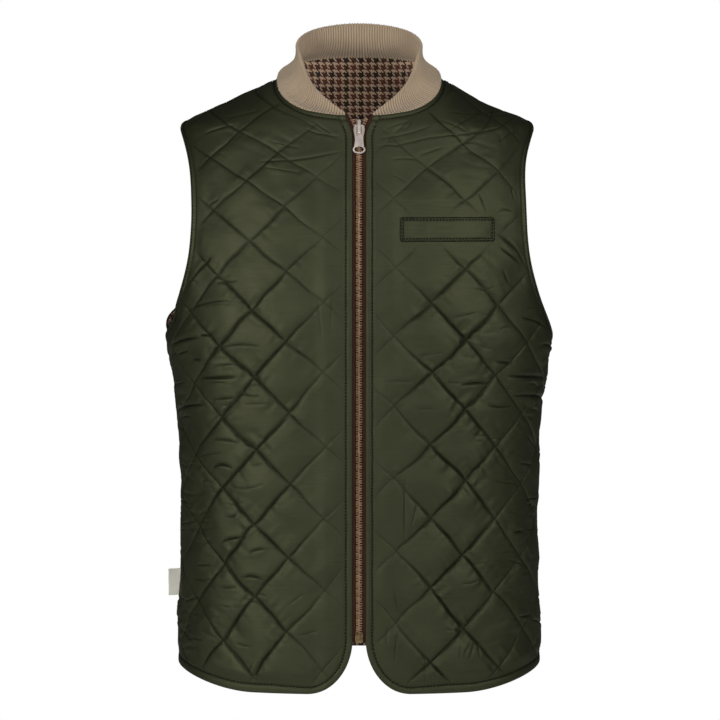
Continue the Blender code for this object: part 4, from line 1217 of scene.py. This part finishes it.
def collar():
    end = math.pi - math.asin(((EDGE_HALF + NECK_SPREAD) / NECK_HALF) ** (NECK_ROUND / 2))
    lean = np.linspace(-end, end, 4001)
    length = run_length(neck_ring(lean)[0])
    ribs = round(length[-1] / RIB_PITCH)
    columns = ribs * RIB_COLUMNS + 1
    even = np.linspace(0, length[-1], columns)
    lean = np.interp(even, length, lean)
    seat, out = neck_ring(lean)
    plan = np.gradient(seat[:, :2], axis=0)
    away = np.column_stack([plan[:, 1], -plan[:, 0], np.zeros(columns)])
    away /= np.linalg.norm(away, axis=1, keepdims=True)
    away *= np.sign((away * seat).sum(axis=1))[:, None]
    tilt = np.radians(smooth_table(COLLAR_LEAN[:, 0], COLLAR_LEAN[:, 1], np.degrees(np.abs(lean))))[:, None]
    rise = np.array([0, 0, 1]) * np.cos(tilt) - away * np.sin(tilt)
    face = np.array([0, 0, 1]) * np.sin(tilt) + away * np.cos(tilt)
    down = -rise + out * (rise * out).sum(axis=1, keepdims=True)
    down /= np.linalg.norm(down, axis=1, keepdims=True)
    tall = smooth_table(COLLAR_ENDS[:, 0], COLLAR_ENDS[:, 1], np.minimum(even, length[-1] - even))[:, None]
    foot = seat + out * COLLAR_SEAT + rise * COLLAR_CLEAR
    top = evened(foot + rise * tall, round(COLLAR_EVEN / RIB_PITCH * RIB_COLUMNS / 2))
    upward = (top - foot) / np.linalg.norm(top - foot, axis=1, keepdims=True)
    ridge = np.abs(np.sin(math.pi * np.arange(columns) / RIB_COLUMNS)) ** RIB_ROUND
    uneven = 1 + RIB_UNEVEN * np.sin(np.arange(columns) // RIB_COLUMNS * 2.4)
    ridge = (RIB_RAISE * (1.9 * ridge * uneven - 0.9))[:, None]
    rows, heights = [seat + down * COLLAR_TUCK + out * TUCK_OUTSIDE], [0 * tall]
    turns = [0.0] * COLLAR_ROWS + list(np.linspace(0, math.pi, FOLD_ROWS + 2)[1:-1]) + [math.pi] * COLLAR_ROWS
    shares = np.linspace(0, 1, COLLAR_ROWS)
    shares = [*shares, *[1.0] * FOLD_ROWS, *shares[::-1]]
    half = COLLAR_WALL / 2
    for turn, share in zip(turns, shares):
        bow = COLLAR_BOW * 4 * share * (1 - share) * tall / COLLAR_HEIGHT
        middle = foot + (top - foot) * share - face * bow
        pinch = 1 - COLLAR_PINCH * np.exp(-share * tall / PINCH_REACH)
        rows.append(middle + (half * pinch + ridge) * (face * math.cos(turn) + upward * math.sin(turn)))
        heights.append(share * tall + half * turn)
    rows.append(seat + down * COLLAR_TUCK + out * TUCK_INSIDE)
    heights.append(0 * tall)
    cloth = np.column_stack([
        np.tile(even, len(rows)), np.concatenate(heights)[:, 0], np.tile(ridge[:, 0] / RIB_RAISE, len(rows)),
    ])
    faces = grid_faces(len(rows), columns).tolist()
    for column in (0, columns - 1):
        spots = [row * columns + column for row in range(len(rows))]
        pairs = list(zip(spots[:len(rows) // 2], spots[:len(rows) // 2:-1]))
        for (a, d), (b, c) in zip(pairs, pairs[1:]):
            faces.append((a, b, c, d) if column else (d, c, b, a))
    cut = 2 * (tall[:, 0] + COLLAR_TUCK + COLLAR_CLEAR) + math.pi * half
    area = float(((cut[1:] + cut[:-1]) / 2 * np.diff(even)).sum())
    piece = add_piece("collar", np.concatenate(rows), faces, cloth)
    return piece, (float(length[-1]), float(cut.max())), area, ribs


COLLAR, COLLAR_CUT, COLLAR_AREA, RIBS = collar()
print("collar:", RIBS, "ribs, cut", [round(v, 3) for v in COLLAR_CUT], "area", round(COLLAR_AREA, 4))

# %% [markdown]
# ## Zip
# Each side of the zip is a woven tape with a corded edge, and a row of small metal teeth clamped on the cord.
# Teeth of the two sides stand half a pitch apart so that they mesh. Above the slider they part and follow the
# front edges. One tooth is drawn once, as an outline with rounded faces, and set along the zip by its height.

# %% Tapes and teeth
ZIP_MID, ZIP_TOP, TAPE, TAPE_THICK = 0.00205, -0.048, (0.0034, 0.0170), 0.0009
BOX_SIZE, BOX_LEVEL, SLIDER_LEVEL = (0.0093, 0.0040, 0.0098), -0.6135, -0.0635
TOOTH_PITCH = 0.00269
TOOTH = np.array([
    # across the zip, half height there
    (-0.00075, 0.00030), (-0.00045, 0.00052), (0.00065, 0.00054), (0.00115, 0.00042), (0.0030, 0.00044),
    (0.00345, 0.00028),
])
TOOTH_RINGS = [
    # distance out of the zip, and how much smaller the outline is there
    (0.00140, 0.00044), (0.00130, 0.00020), (0.00100, 0.00003), (-0.00110, 0.0), (-0.00130, 0.00026),
]
CORD_RISE, CORD_WIDE = 0.0006, 0.0009


def zip_tape(name, side):
    foot = height_of(BOX_LEVEL - BOX_SIZE[2] / 2)
    up = np.arange(foot, height_of(ZIP_TOP + 0.006), 0.003)
    across = np.array([0, 0.0004, 0.0008, 0.0013, 0.0018, 0.0024, 0.0036, 0.006, 0.010, TAPE[1] - TAPE[0]])
    beside = np.where(level_of(up) < BOX_LEVEL + BOX_SIZE[2] / 2, BOX_SIZE[0] / 2 - TAPE[0] - 0.0004, 0.0)
    along = TAPE[0] + spread(level_of(up)) + beside
    inner = np.minimum(across[None, :], TAPE[1] - TAPE[0] - beside[:, None])
    flat = np.column_stack([(along[:, None] + inner).ravel(), np.repeat(up, len(across))])
    cord = np.tile(CORD_RISE * np.exp(-((across - 0.0006) / CORD_WIDE) ** 2), len(up))
    points = place(flat, ZIP_MID + TAPE_THICK / 2 - 0.0002 + cord, side=side)[0]
    add_piece(name, points, grid_faces(len(up), len(across))[:, ::side], np.column_stack([flat, cord]))
    return flat


def one_tooth():
    """Points (across, out, up) and faces of a tooth."""
    loop = np.concatenate([TOOTH, TOOTH[::-1] * (1, -1)])
    middle = loop.mean(axis=0)
    rings = []
    for out, shrink in TOOTH_RINGS:
        drawn = loop - np.sign(loop - middle) * np.minimum(shrink, np.abs(loop - middle))
        rings.append(np.column_stack([drawn[:, 0], np.full(len(loop), out), drawn[:, 1]]))
    count = len(loop)
    last = len(rings) - 1
    faces = [list(range(count - 1, -1, -1)), [last * count + k for k in range(count)]]
    for ring in range(last):
        for k in range(count):
            after = (k + 1) % count
            low, high = ring * count, (ring + 1) * count
            faces.append([low + k, low + after, high + after, high + k])
    return np.concatenate(rings), faces


def zip_teeth(name, side):
    shape, faces = one_tooth()
    start = height_of(BOX_LEVEL + BOX_SIZE[2] / 2) + TOOTH_PITCH * (0.4 if side > 0 else 0.9)
    heights = np.arange(start, height_of(ZIP_TOP), TOOTH_PITCH)
    flat = np.column_stack([np.zeros(len(heights)), heights])
    base, out = place(flat, ZIP_MID)
    ahead = place(flat + (0, 0.001), ZIP_MID)[0]
    parted = spread(level_of(heights))
    lean = (spread(level_of(heights + 0.001)) - parted) * side
    up = ahead - base
    up[:, 0] = lean
    up /= np.linalg.norm(up, axis=1, keepdims=True)
    out = out * (0.0, 1.0, 1.0)
    across = np.cross(up, out) * -side
    across *= np.sign(across[:, :1] * side)
    base = base + np.column_stack([parted * side, 0 * parted, 0 * parted])
    points = base[:, None] + across[:, None] * shape[None, :, :1]
    points = points + out[:, None] * shape[None, :, 1:2] + up[:, None] * shape[None, :, 2:]
    count = len(shape)
    made = [[i + k * count for i in face[::side]] for k in range(len(heights)) for face in faces]
    cloth = np.repeat(np.column_stack([flat, parted]), count, axis=0)
    piece = add_piece(name, points.reshape(-1, 3), made, cloth)
    for face in piece.data.polygons:
        face.use_smooth = len(face.vertices) == 4
    return len(heights)


for word, side in (("right", -1), ("left", 1)):
    TAPE_FLAT = zip_tape("tape_" + word, side)
    print(word, "zip half:", zip_teeth("teeth_" + word, side), "teeth")

# %% [markdown]
# ## Thread
# Every stitch is a short piece of thread pulled into the cloth at both ends. A row follows its line on the
# flat cut, and each stitch drops onto the finished cloth by a ray, so the thread follows every pucker.
# Topstitching is heavy and long, and quilting thread is thin.

# %% Rows of stitches
TOPSTITCH = {"pitch": 0.0036, "long": 0.0026, "thick": 0.00070, "sides": 5}
QUILT_STITCH = {"pitch": 0.0034, "long": 0.0028, "thick": 0.00024, "sides": 3}
STITCH_RINGS = [
    # share of the length, then thickness and lift as shares of the thread
    (0.0, 0.45, -0.7), (0.22, 1.0, 0.45), (0.78, 1.0, 0.45), (1.0, 0.45, -0.7),
]
DROP_FROM_HEIGHT, ROW_CLEAR, WELT_ROW_CLEAR = 0.030, 0.0020, 0.001


def drop(flat, tree, behind, side):
    """Where flat points meet the finished cloth, with the outward direction. Missed points are nan."""
    high, normal = place(flat, DROP_FROM_HEIGHT, behind, side)
    hits = [tree.ray_cast(Vector(p), Vector(-n))[0] for p, n in zip(high, normal)]
    return np.array([tuple(h) if h is not None else (np.nan,) * 3 for h in hits]), normal


def thread(ends, normals, thick, sides):
    """Tapered threads between pairs of points, sunk at both ends."""
    start, finish = ends
    run = finish - start
    length = np.linalg.norm(run, axis=1, keepdims=True)
    run = run / length
    beside = np.cross(run, normals)
    out = np.cross(beside, run)
    turns = math.pi / 2 + np.linspace(0, 2 * math.pi, sides, endpoint=False)
    points = []
    for share, size, lift in STITCH_RINGS:
        middle = start + run * length * share + out * thick * lift
        for turn in turns:
            points.append(middle + (beside * math.cos(turn) + out * math.sin(turn)) * thick * size)
    points = np.stack(points, axis=1)
    count = points.shape[1]
    faces = [list(range(sides - 1, -1, -1)), list(range(3 * sides, 4 * sides))]
    for low in range(0, 3 * sides, sides):
        for k in range(sides):
            after = (k + 1) % sides
            faces.append([low + k, low + after, low + sides + after, low + sides + k])
    made = [[i + n * count for i in face] for n in range(len(points)) for face in faces]
    return points.reshape(-1, 3), made


def stitch_rows(name, lines, kind, tree, behind=False, side=1, keep=None):
    """Makes one piece with the stitches of several flat lines and counts them."""
    starts, ends = [], []
    for line in lines:
        length = run_length(line)
        spots = np.arange(kind["pitch"] / 2, length[-1] - kind["pitch"] / 2, kind["pitch"])
        for held, shift in ((starts, -0.5), (ends, 0.5)):
            at = spots + shift * kind["long"]
            held.append(np.column_stack([np.interp(at, length, column) for column in line.T]))
    starts, ends = np.concatenate(starts), np.concatenate(ends)
    if keep is not None:
        kept = keep(starts) & keep(ends)
        starts, ends = starts[kept], ends[kept]
    (first, normal), (last, _) = (drop(flat, tree, behind, side) for flat in (starts, ends))
    found = ~np.isnan(first + last).any(axis=1)
    points, faces = thread((first[found], last[found]), normal[found], kind["thick"], kind["sides"])
    add_piece(name, points, faces)
    return int(found.sum())


def topstitch_lines(edges):
    """Lines a fixed distance in from the finished edges of a panel."""
    lines = []
    outline = outline_of(edges)
    inward = inset(outline, 0.0)[1]
    begin = 0
    for word, edge in edges.items():
        count = len(edge) - 1
        depth = stitch_in(word, edge[:-1])
        if depth is not None:
            line = edge[:-1] + inward[begin:begin + count] * np.reshape(depth, (-1, 1))
            lines.append(line[2:-2])
        begin += count
    return lines


def quilt_lines(name, outline):
    """The two sets of quilting lines that cross a panel."""
    rising, falling = ((math.floor(n.min()), math.ceil(n.max())) for n in lattice_numbers(name, outline))
    lines = []
    for own, other, way in ((rising, falling, 1), (falling, rising, -1)):
        run = np.arange(other[0], other[1], 0.05)
        for k in range(own[0], own[1] + 1):
            across, up = (k + run) / 2 * DIAMOND_WIDE, way * (k - run) / 2 * DIAMOND_TALL
            lines.append(from_lattice(name, np.column_stack([across, PHASE[name] + up])))
    return lines


for name, (word, behind, side) in PANELS.items():
    tree, edges = FINISHED[name], CUT[word]
    outline = outline_of(edges)
    closed = np.vstack([outline, outline[:1]])

    def well_inside(flat):
        free = inside(flat, outline) & (nearest(flat, closed)[0] > STITCH_IN["front"] + ROW_CLEAR)
        return free & (welt_away(flat) > WELT_ROW_CLEAR) if name == "front_left" else free

    top = stitch_rows("topstitch_" + name, topstitch_lines(edges), TOPSTITCH, tree, behind, side)
    rows = quilt_lines(name, outline)
    quilt = stitch_rows("quilting_" + name, rows, QUILT_STITCH, tree, behind, side, well_inside)
    print(name, "stitches:", top, "and", quilt)

welt_rows = [inset(WELT_LINE, depth)[0] for depth in WELT_STITCH]
welt_rows = [np.vstack([row, row[:1]]) for row in welt_rows]
stitch_rows("topstitch_welt", welt_rows, TOPSTITCH, WELT_TREE)

# %% [markdown]
# ## Side label
# A short woven ribbon folded in half and caught in the side seam on the wearer's right. It is left blank.

# %% Label
LABEL_LEVEL, LABEL_OUT, LABEL_THICK = (-0.580, -0.550), 0.0130, 0.0012
LABEL_ROOT, LABEL_CAUGHT, LABEL_CURL, LABEL_SAG = 0.0037, 0.004, 0.0012, 0.0006


def label():
    levels = np.linspace(*LABEL_LEVEL, 17)
    root = float(section(np.array(LABEL_LEVEL))[0].max()) + SHELL_IN + SHELL - LABEL_ROOT
    out = LABEL_OUT + LABEL_CAUGHT - LABEL_THICK / 2
    lean = np.linspace(math.pi / 2, -math.pi / 2, 9)
    reach = np.linspace(0, out, 14)
    path = [(x, LABEL_THICK / 2) for x in reach]
    path += [(out + LABEL_THICK / 2 * math.cos(t), LABEL_THICK / 2 * math.sin(t)) for t in lean[1:-1]]
    path += [(x, -LABEL_THICK / 2) for x in reach[::-1]]
    path = np.array(path)
    points, cloth = [], []
    along = run_length(path)
    for level in levels:
        share = (level - levels[0]) / (levels[-1] - levels[0])
        curl = LABEL_CURL * (path[:, 0] / out) ** 2 * (math.sin(share * 5) - 0.4)
        sag = -LABEL_SAG * (path[:, 0] / out) ** 2
        points += [(-root - x, y + c, level + s) for (x, y), c, s in zip(path, curl, sag)]
        cloth += [(a, level, 0) for a in along]
    return add_piece("label", np.array(points), grid_faces(len(levels), len(path)), cloth), along[-1]


LABEL, LABEL_CUT = label()
print("label ribbon:", round(LABEL_CUT, 4), "m long")

# %% [markdown]
# ## Slider, pull and retainer box
# These are small die castings with softened edges. Blender's flat curves suit them: an outline with holes
# is filled, given a thickness and rounded in one step, then turned into a mesh. The pull hangs on the rail
# of the slider and swings about it, so it is a piece of its own that rides on its own body.

# %% Castings
PLATE, RAIL_HALF, PULL, PULL_AXIS_UP = (0.0016, 0.0029), 0.0017, (0.0034, 0.0050), 0.0053
SLIDER_HALF = [(0.0050, 0.0082), (0.0060, 0.0050), (0.0060, 0.0010), (0.0044, -0.0075), (0.0036, -0.0082)]
RAIL_OUT = [(0.0028, -0.0036), (0.0060, -0.0036), (0.0069, -0.0026), (0.0069, 0.0116), (0.0052, 0.0132)]
RAIL_IN = [(0.0028, -0.0020), (0.0050, -0.0020), (0.0055, -0.0016), (0.0055, 0.0109), (0.0048, 0.0116)]
POST_HALF = [(0.0012, 0.0080), (0.0012, 0.0050)]
PULL_HALF = [(0.0044, 0.0008), (0.0046, -0.0090), (0.0045, -0.0165), (0.0054, -0.0226)]
PULL_SLOT = [(0.0027, -0.0008), (0.0027, -0.0118)]
RING, RING_HOLE, RING_AT = (0.0069, 0.0049), (0.0051, 0.0033), -0.0262
BOX_RIDGE, RIDGE_PROUD, POST_PROUD = [(0.0012, 0.0052), (0.0012, -0.0036)], 0.0007, 0.0004
CORNERS = {"plate": 0.0014, "rail": 0.0006, "pull": 0.0010, "slot": 0.0006, "box": 0.0030, "ridge": 0.0006}
SOFTENED = {
    "plate": 0.00035, "post": 0.0001, "rail": 0.00030, "pull": 0.0004, "ring": 0.0005, "box": 0.0013,
    "ridge": 0.0003,
}
SHARP_FROM = math.radians(38)


def zip_frame(level):
    """Frame on the middle of the zip: x to the wearer's left, -y out of the cloth, z up the zip."""
    point, normal = form_point(0.0, level), form_normal(0.0, level)
    out, right = Vector(normal), Vector((1, 0, 0))
    turn = Matrix((right, -out, out.cross(right))).transposed().to_4x4()
    return Matrix.Translation(point + normal * ZIP_MID) @ turn


def mirrored(half):
    return [*half, *[(-x, z) for x, z in reversed(half)]]


def rounded(loop, radius, steps=4):
    """The same outline with each corner cut by an arc of about the given radius."""
    loop = np.array(loop)
    made = []
    for before, corner, after in zip(np.roll(loop, 1, axis=0), loop, np.roll(loop, -1, axis=0)):
        back, ahead = before - corner, after - corner
        cut = min(radius, 0.45 * np.linalg.norm(back), 0.45 * np.linalg.norm(ahead))
        start = corner + back / np.linalg.norm(back) * cut
        finish = corner + ahead / np.linalg.norm(ahead) * cut
        for t in np.linspace(0, 1, steps):
            made.append((1 - t) ** 2 * start + 2 * t * (1 - t) * corner + t * t * finish)
    return made


def oval(size, middle, count=40):
    lean = np.linspace(0, 2 * math.pi, count, endpoint=False)
    return [(size[0] * math.sin(t), middle + size[1] * math.cos(t)) for t in lean]


def casting(loops, thick, soften, turn):
    """Mesh of a flat outline with holes, as thick as given, with softened edges, set by a matrix."""
    curve = bpy.data.curves.new("casting", "CURVE")
    curve.dimensions, curve.fill_mode = "2D", "BOTH"
    curve.extrude, curve.bevel_depth = thick / 2 - soften, soften
    curve.bevel_resolution, curve.offset = 2, -soften
    for loop in loops:
        line = curve.splines.new("POLY")
        line.points.add(len(loop) - 1)
        for point, (x, y) in zip(line.points, loop):
            point.co = (x, y, 0, 1)
        line.use_cyclic_u = True
    drawn = bpy.data.objects.new("casting", curve)
    bpy.context.scene.collection.objects.link(drawn)
    bpy.context.view_layer.update()
    mesh = bpy.data.meshes.new_from_object(drawn.evaluated_get(bpy.context.evaluated_depsgraph_get()))
    mesh.transform(turn)
    bpy.data.objects.remove(drawn)
    return mesh


def join(name, meshes):
    """One piece from several meshes, with each face keeping its own hard or soft edges."""
    points, faces = [], []
    for mesh in meshes:
        first = len(points)
        points += [tuple(v.co) for v in mesh.vertices]
        faces += [[first + i for i in f.vertices] for f in mesh.polygons]
    piece = add_piece(name, points, faces)
    piece.data.set_sharp_from_angle(angle=SHARP_FROM)
    return piece


def facing(y):
    """Turns a flat outline to stand across the zip, its middle y behind the zip's own middle."""
    return Matrix(((1, 0, 0, 0), (0, 0, -1, y), (0, 1, 0, 0), (0, 0, 0, 1)))


SIDEWAYS = Matrix(((0, 0, 1, 0), (-1, 0, 0, 0), (0, 1, 0, 0), (0, 0, 0, 1)))
slider_frame = zip_frame(SLIDER_LEVEL)
plate_loop = rounded(mirrored(SLIDER_HALF), CORNERS["plate"])
plate_thick, plate_mid = PLATE[1] - PLATE[0], (PLATE[0] + PLATE[1]) / 2
rail = [*mirrored(RAIL_OUT), *[(-n, t) for n, t in RAIL_IN], *reversed(RAIL_IN)]
SLIDER = join("slider", [
    casting([plate_loop], plate_thick, SOFTENED["plate"], slider_frame @ facing(-plate_mid)),
    casting([plate_loop], plate_thick, SOFTENED["plate"], slider_frame @ facing(plate_mid)),
    casting([mirrored(POST_HALF)], 2 * PLATE[0] + POST_PROUD, SOFTENED["post"], slider_frame @ facing(0)),
    casting([rounded(rail, CORNERS["rail"], 3)], 2 * RAIL_HALF, SOFTENED["rail"], slider_frame @ SIDEWAYS),
])
pull_frame = slider_frame @ Matrix.Translation((0, 0, PULL_AXIS_UP)) @ facing(-(PULL[0] + PULL[1]) / 2)
pull_thick = PULL[1] - PULL[0]
pull_loops = [rounded(mirrored(PULL_HALF), CORNERS["pull"]), rounded(mirrored(PULL_SLOT), CORNERS["slot"])]
ring_loops = [oval(RING, RING_AT), oval(RING_HOLE, RING_AT)]
PULL_TAB = join("pull_tab", [
    casting(pull_loops, pull_thick, SOFTENED["pull"], pull_frame),
    casting(ring_loops, pull_thick, SOFTENED["ring"], pull_frame),
])
box_half = [(BOX_SIZE[0] / 2, BOX_SIZE[2] / 2), (BOX_SIZE[0] / 2, -BOX_SIZE[2] / 2)]
box_frame = zip_frame(BOX_LEVEL) @ facing(0)
box_loop = rounded(mirrored(box_half), CORNERS["box"], 6)
ridge_loop = rounded(mirrored(BOX_RIDGE), CORNERS["ridge"])
BOX = join("retainer", [
    casting([box_loop], BOX_SIZE[1], SOFTENED["box"], box_frame),
    casting([ridge_loop], BOX_SIZE[1] + RIDGE_PROUD, SOFTENED["ridge"], box_frame),
])
print("castings:", [len(piece.data.polygons) for piece in (SLIDER, PULL_TAB, BOX)], "faces")

# %% [markdown]
# ## Cloth and metal
# Every cloth shader reads the piece's flat coordinates, so weave and pattern follow the cut of each panel and
# stay in scale. The outer cloth is a dense satin, whose shine takes the colour of the cloth. A coat of gloss
# would shine white, so the shader is mostly metallic and rough. Apart from painted shade its colour hardly
# varies, but its sheen does, in faint streaks along the weave. The painted shade darkens it along the quilting
# grooves, the stitch rows and the crease bottoms. The rib knit is painted darker in the valleys between its
# ribs, and the zip tape in the hollows of its weave and on the cord under the teeth. The checked cloth is
# worked out thread by thread. A warp or a weft thread is on top in a two-and-two twill, four dark threads
# follow four light ones both ways, and the little broken stars come by themselves.

# %% Materials
THREAD = 0.00107
CHECK = {"tan": (0.580, 0.395, 0.268, 1), "black": (0.007, 0.005, 0.004, 1), "rust": (0.085, 0.024, 0.012, 1)}


def wave(look, value, pitch):
    return look.math("SINE", value * (2 * math.pi / pitch))


def quilted_cloth():
    look = Look("quilted_cloth", Metallic=0.9, Specular_IOR_Level=0.1)
    along, up, line = look.cloth()
    where = look.place(along, up)
    cloud = look.noise(where, 22.0)
    streak = look.noise(look.place(along * 40, up * 420), 1.0, 3.0)
    weave = wave(look, along, 0.00055) * wave(look, up, 0.00055)
    tone = look.blend(cloud, (0.056, 0.0625, 0.0335, 1), (0.071, 0.0735, 0.0415, 1))
    faint = look.step(streak, 0.35, 0.75) * look.step(look.noise(where, 35.0), 0.40, 0.65) * 0.22
    tone = look.blend(faint, tone, (0.030, 0.034, 0.017, 1))
    # Painted shade: the colour is darkened nearly to black along the quilting grooves, the stitch rows and the
    # crease bottoms, by the shade stored with the flat coordinates.
    tone = look.blend(line * 0.85, tone, (0.010, 0.011, 0.006, 1))
    crinkle = look.noise(look.place(along * 60, up * 190), 1.0, 3.0)
    height = weave * 0.25 + streak * 0.6 + look.noise(where, 420.0, 4.0) * 0.5 + crinkle * 3.0
    gloss = look.math("MULTIPLY_ADD", streak, 0.08, 0.56)
    return look.surface(Base_Color=tone, Roughness=gloss, Normal=look.bump(height, 0.00010, 0.5))


def checked_cloth():
    look = Look("checked_cloth", Roughness=0.92, Sheen_Weight=0.15, Specular_IOR_Level=0.25)
    along, up, _ = look.cloth()
    fuzz = look.noise(look.place(along, up), 900.0, 3.0)
    i, j = (look.math("FLOOR", (way + fuzz * 0.0005) / THREAD) for way in (along, up))
    colours = []
    for k in (i, j):
        group = (look.math("FLOOR", k / 8) % 2) < 0.5
        dark = look.blend(group, CHECK["rust"], CHECK["black"])
        colours.append(look.blend((k % 8) < 4.5, CHECK["tan"], dark))
    over = ((i + j) % 4) < 1.5
    tone = look.blend(over, colours[1], colours[0])
    tone = look.blend(fuzz * 0.25, tone, (0.11, 0.075, 0.05, 1))
    round_warp, round_weft = (abs((way / THREAD) % 1 - 0.5) for way in (along, up))
    height = 1 - look.add("Mix", {"data_type": "FLOAT"}, {0: over, 2: round_weft, 3: round_warp}) * 1.6
    return look.surface(Base_Color=tone, Normal=look.bump(height + fuzz * 0.6, 0.00035, 0.7))


def rib_knit():
    look = Look("rib_knit", Roughness=0.9, Sheen_Weight=0.2, Sheen_Roughness=0.6, Specular_IOR_Level=0.25)
    along, up, ridge = look.cloth()
    where = look.place(along, up)
    loops = wave(look, up + abs((along / RIB_PITCH) % 1 - 0.5) * 0.0016, 0.0013)
    fluff = look.noise(where, 700.0, 3.0)
    tone = look.blend(look.noise(where, 60.0), (0.383, 0.287, 0.190, 1), (0.448, 0.340, 0.229, 1))
    # Painted shade: the valleys between the ribs are darkened in the colour.
    painted_valley_shade = look.step(ridge, 0.35, -0.75)
    tone = look.blend(painted_valley_shade * 0.85, tone, (0.130, 0.090, 0.055, 1))
    return look.surface(Base_Color=tone, Normal=look.bump(loops * 0.35 + fluff, 0.00025, 0.6))


def zip_tape_cloth():
    look = Look("zip_tape", Roughness=0.85, Specular_IOR_Level=0.1)
    along, up, cord = look.cloth()
    bone = abs((along / 0.0030) % 1 - 0.5) * 0.0030 + up
    ribs = wave(look, bone, 0.0009)
    # Painted light and shade: the top of each woven rib is painted lighter and the hollows between darker.
    weave_painted_light = look.math("MULTIPLY_ADD", ribs, 0.5, 0.5)
    tone = look.blend(weave_painted_light, (0.048, 0.018, 0.011, 1), (0.086, 0.034, 0.021, 1))
    # Painted shade: the corded edge under the teeth is darkened nearly to black, for the shade between the
    # teeth.
    tone = look.blend(look.step(cord, 0.0, CORD_RISE) * 0.85, tone, (0.010, 0.005, 0.004, 1))
    return look.surface(Base_Color=tone, Normal=look.bump(ribs, 0.00015, 0.6))


def cast_metal(name, first, second, rough, scale, metallic=1.0):
    look = Look(name, Metallic=metallic)
    where = look.add("TexCoord", out=3)
    worn = look.noise(where, scale, 4.0)
    fine = look.noise(where, scale * 9, 3.0)
    tone = look.blend(look.step(worn, 0.35, 0.7), first, second)
    gloss = look.math("MULTIPLY_ADD", fine, 0.25, rough)
    return look.surface(Base_Color=tone, Roughness=gloss, Normal=look.bump(fine, 0.00006, 0.4))


def label_cloth():
    look = Look("label_cloth", Roughness=0.8, Specular_IOR_Level=0.3)
    along, up, _ = look.cloth()
    weave = wave(look, along, 0.0007) * wave(look, up, 0.0007)
    cloud = look.noise(look.place(along, up), 150.0)
    tone = look.blend(cloud, (0.80, 0.77, 0.66, 1), (0.88, 0.86, 0.76, 1))
    return look.surface(Base_Color=tone, Normal=look.bump(weave, 0.00015, 0.6))


def thread_look():
    look = Look("thread", Roughness=0.7, Specular_IOR_Level=0.15)
    where = look.add("TexCoord", out=3)
    tone = look.blend(look.noise(where, 300.0), (0.004, 0.0045, 0.0025, 1), (0.009, 0.010, 0.005, 1))
    return look.surface(Base_Color=tone)


LOOKS = {
    "quilted_cloth": quilted_cloth(),
    "checked_cloth": checked_cloth(),
    "rib_knit": rib_knit(),
    "zip_tape": zip_tape_cloth(),
    "zip_brass": cast_metal("zip_brass", (0.78, 0.52, 0.33, 1), (0.52, 0.33, 0.19, 1), 0.26, 260.0),
    "old_brass": cast_metal("old_brass", (0.34, 0.24, 0.12, 1), (0.17, 0.12, 0.06, 1), 0.32, 260.0),
    "zip_slider": cast_metal("zip_slider", (0.66, 0.58, 0.53, 1), (0.50, 0.43, 0.39, 1), 0.30, 180.0, 0.45),
    "label_cloth": label_cloth(),
    "thread": thread_look(),
}
print("materials:", list(LOOKS))

# %% [markdown]
# ## What stands for what
# Each piece is tied to a body, so the pull swings and the rest stays, and the solid it stands for is hidden.

# %% Bodies, solids and finishes
ROWS = [
    # piece, finish, solids it stands for
    ("front_right_shell", "quilted_cloth", ["front_right"]),
    ("front_left_shell", "quilted_cloth", ["front_left"]),
    ("back_shell", "quilted_cloth", ["back"]),
    ("welt", "quilted_cloth", ["chest_welt"]),
    ("lining_right", "checked_cloth", ["lining_front_right"]),
    ("lining_left", "checked_cloth", ["lining_front_left"]),
    ("lining_rear", "checked_cloth", ["lining_back"]),
    ("collar", "rib_knit", ["collar_rib"]),
    ("tape_right", "zip_tape", ["zip_tape_right"]),
    ("tape_left", "zip_tape", ["zip_tape_left"]),
    ("teeth_right", "zip_brass", ["zip_chain_right"]),
    ("teeth_left", "zip_brass", ["zip_chain_left"]),
    ("retainer", "zip_brass", ["zip_box"]),
    ("slider", "zip_slider", ["zip_slider"]),
    ("pull_tab", "zip_slider", ["zip_pull"]),
    ("label", "label_cloth", ["side_label"]),
]
THREADS = [name for name in PIECES if name.startswith(("topstitch", "quilting"))]
for name, finish, solids in ROWS:
    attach(PIECES[name], "pull" if name == "pull_tab" else "vest")
    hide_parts(*solids)
    PIECES[name].data.materials.append(LOOKS[finish])
BOX.data.materials[0] = LOOKS["old_brass"]          # the box has darkened more than the teeth
for name in THREADS:
    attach(PIECES[name], "vest")
    PIECES[name].data.materials.append(LOOKS["thread"])


def size_of(line):
    return [float(v) for v in line.max(axis=0) - line.min(axis=0)]


for shell, (word, _, _) in PANELS.items():
    line = outline_of(CUT[word])
    PIECES[shell + "_shell"]
    size_of(line)
    line = lining_outline(CUT[word])
    size_of(line)
    shell + "_shell"
size_of(WELT_LINE)
for word in ("right", "left"):
    PIECES["tape_" + word]
print("pieces:", len(PIECES))

# %% [markdown]
# ## Floor
# A plain pale floor well below the vest catches some light from the boxes and throws it softly back up. It
# glows faintly, so that it stays pale in views from above. The camera of the photograph looks over it.

# %% Floor
FLOOR_LEVEL, FLOOR_HALF, FLOOR_CORNERS = -1.45, 3.0, 96
FLOOR_TONES = (0.80, 0.80, 0.79, 1), (0.84, 0.84, 0.83, 1)
FLOOR_GLOW, GLOW_TONE = 0.18, (0.9, 0.9, 0.88, 1)
turns = np.linspace(0, 2 * math.pi, FLOOR_CORNERS + 1)[:-1]
floor_points = [(FLOOR_HALF * math.cos(t), FLOOR_HALF * math.sin(t), FLOOR_LEVEL) for t in turns]
floor_mesh = bpy.data.meshes.new("floor")
floor_mesh.from_pydata(floor_points, [], [list(range(FLOOR_CORNERS))])
floor = bpy.data.objects.new("floor", floor_mesh)
bpy.context.scene.collection.objects.link(floor)
floor_look = Look("floor", Roughness=0.8, Emission_Color=GLOW_TONE, Emission_Strength=FLOOR_GLOW)
pale = floor_look.noise(floor_look.add("TexCoord", out=3), 3.0)
floor_mesh.materials.append(floor_look.surface(Base_Color=floor_look.blend(pale, *FLOOR_TONES)))
print("floor at", FLOOR_LEVEL)
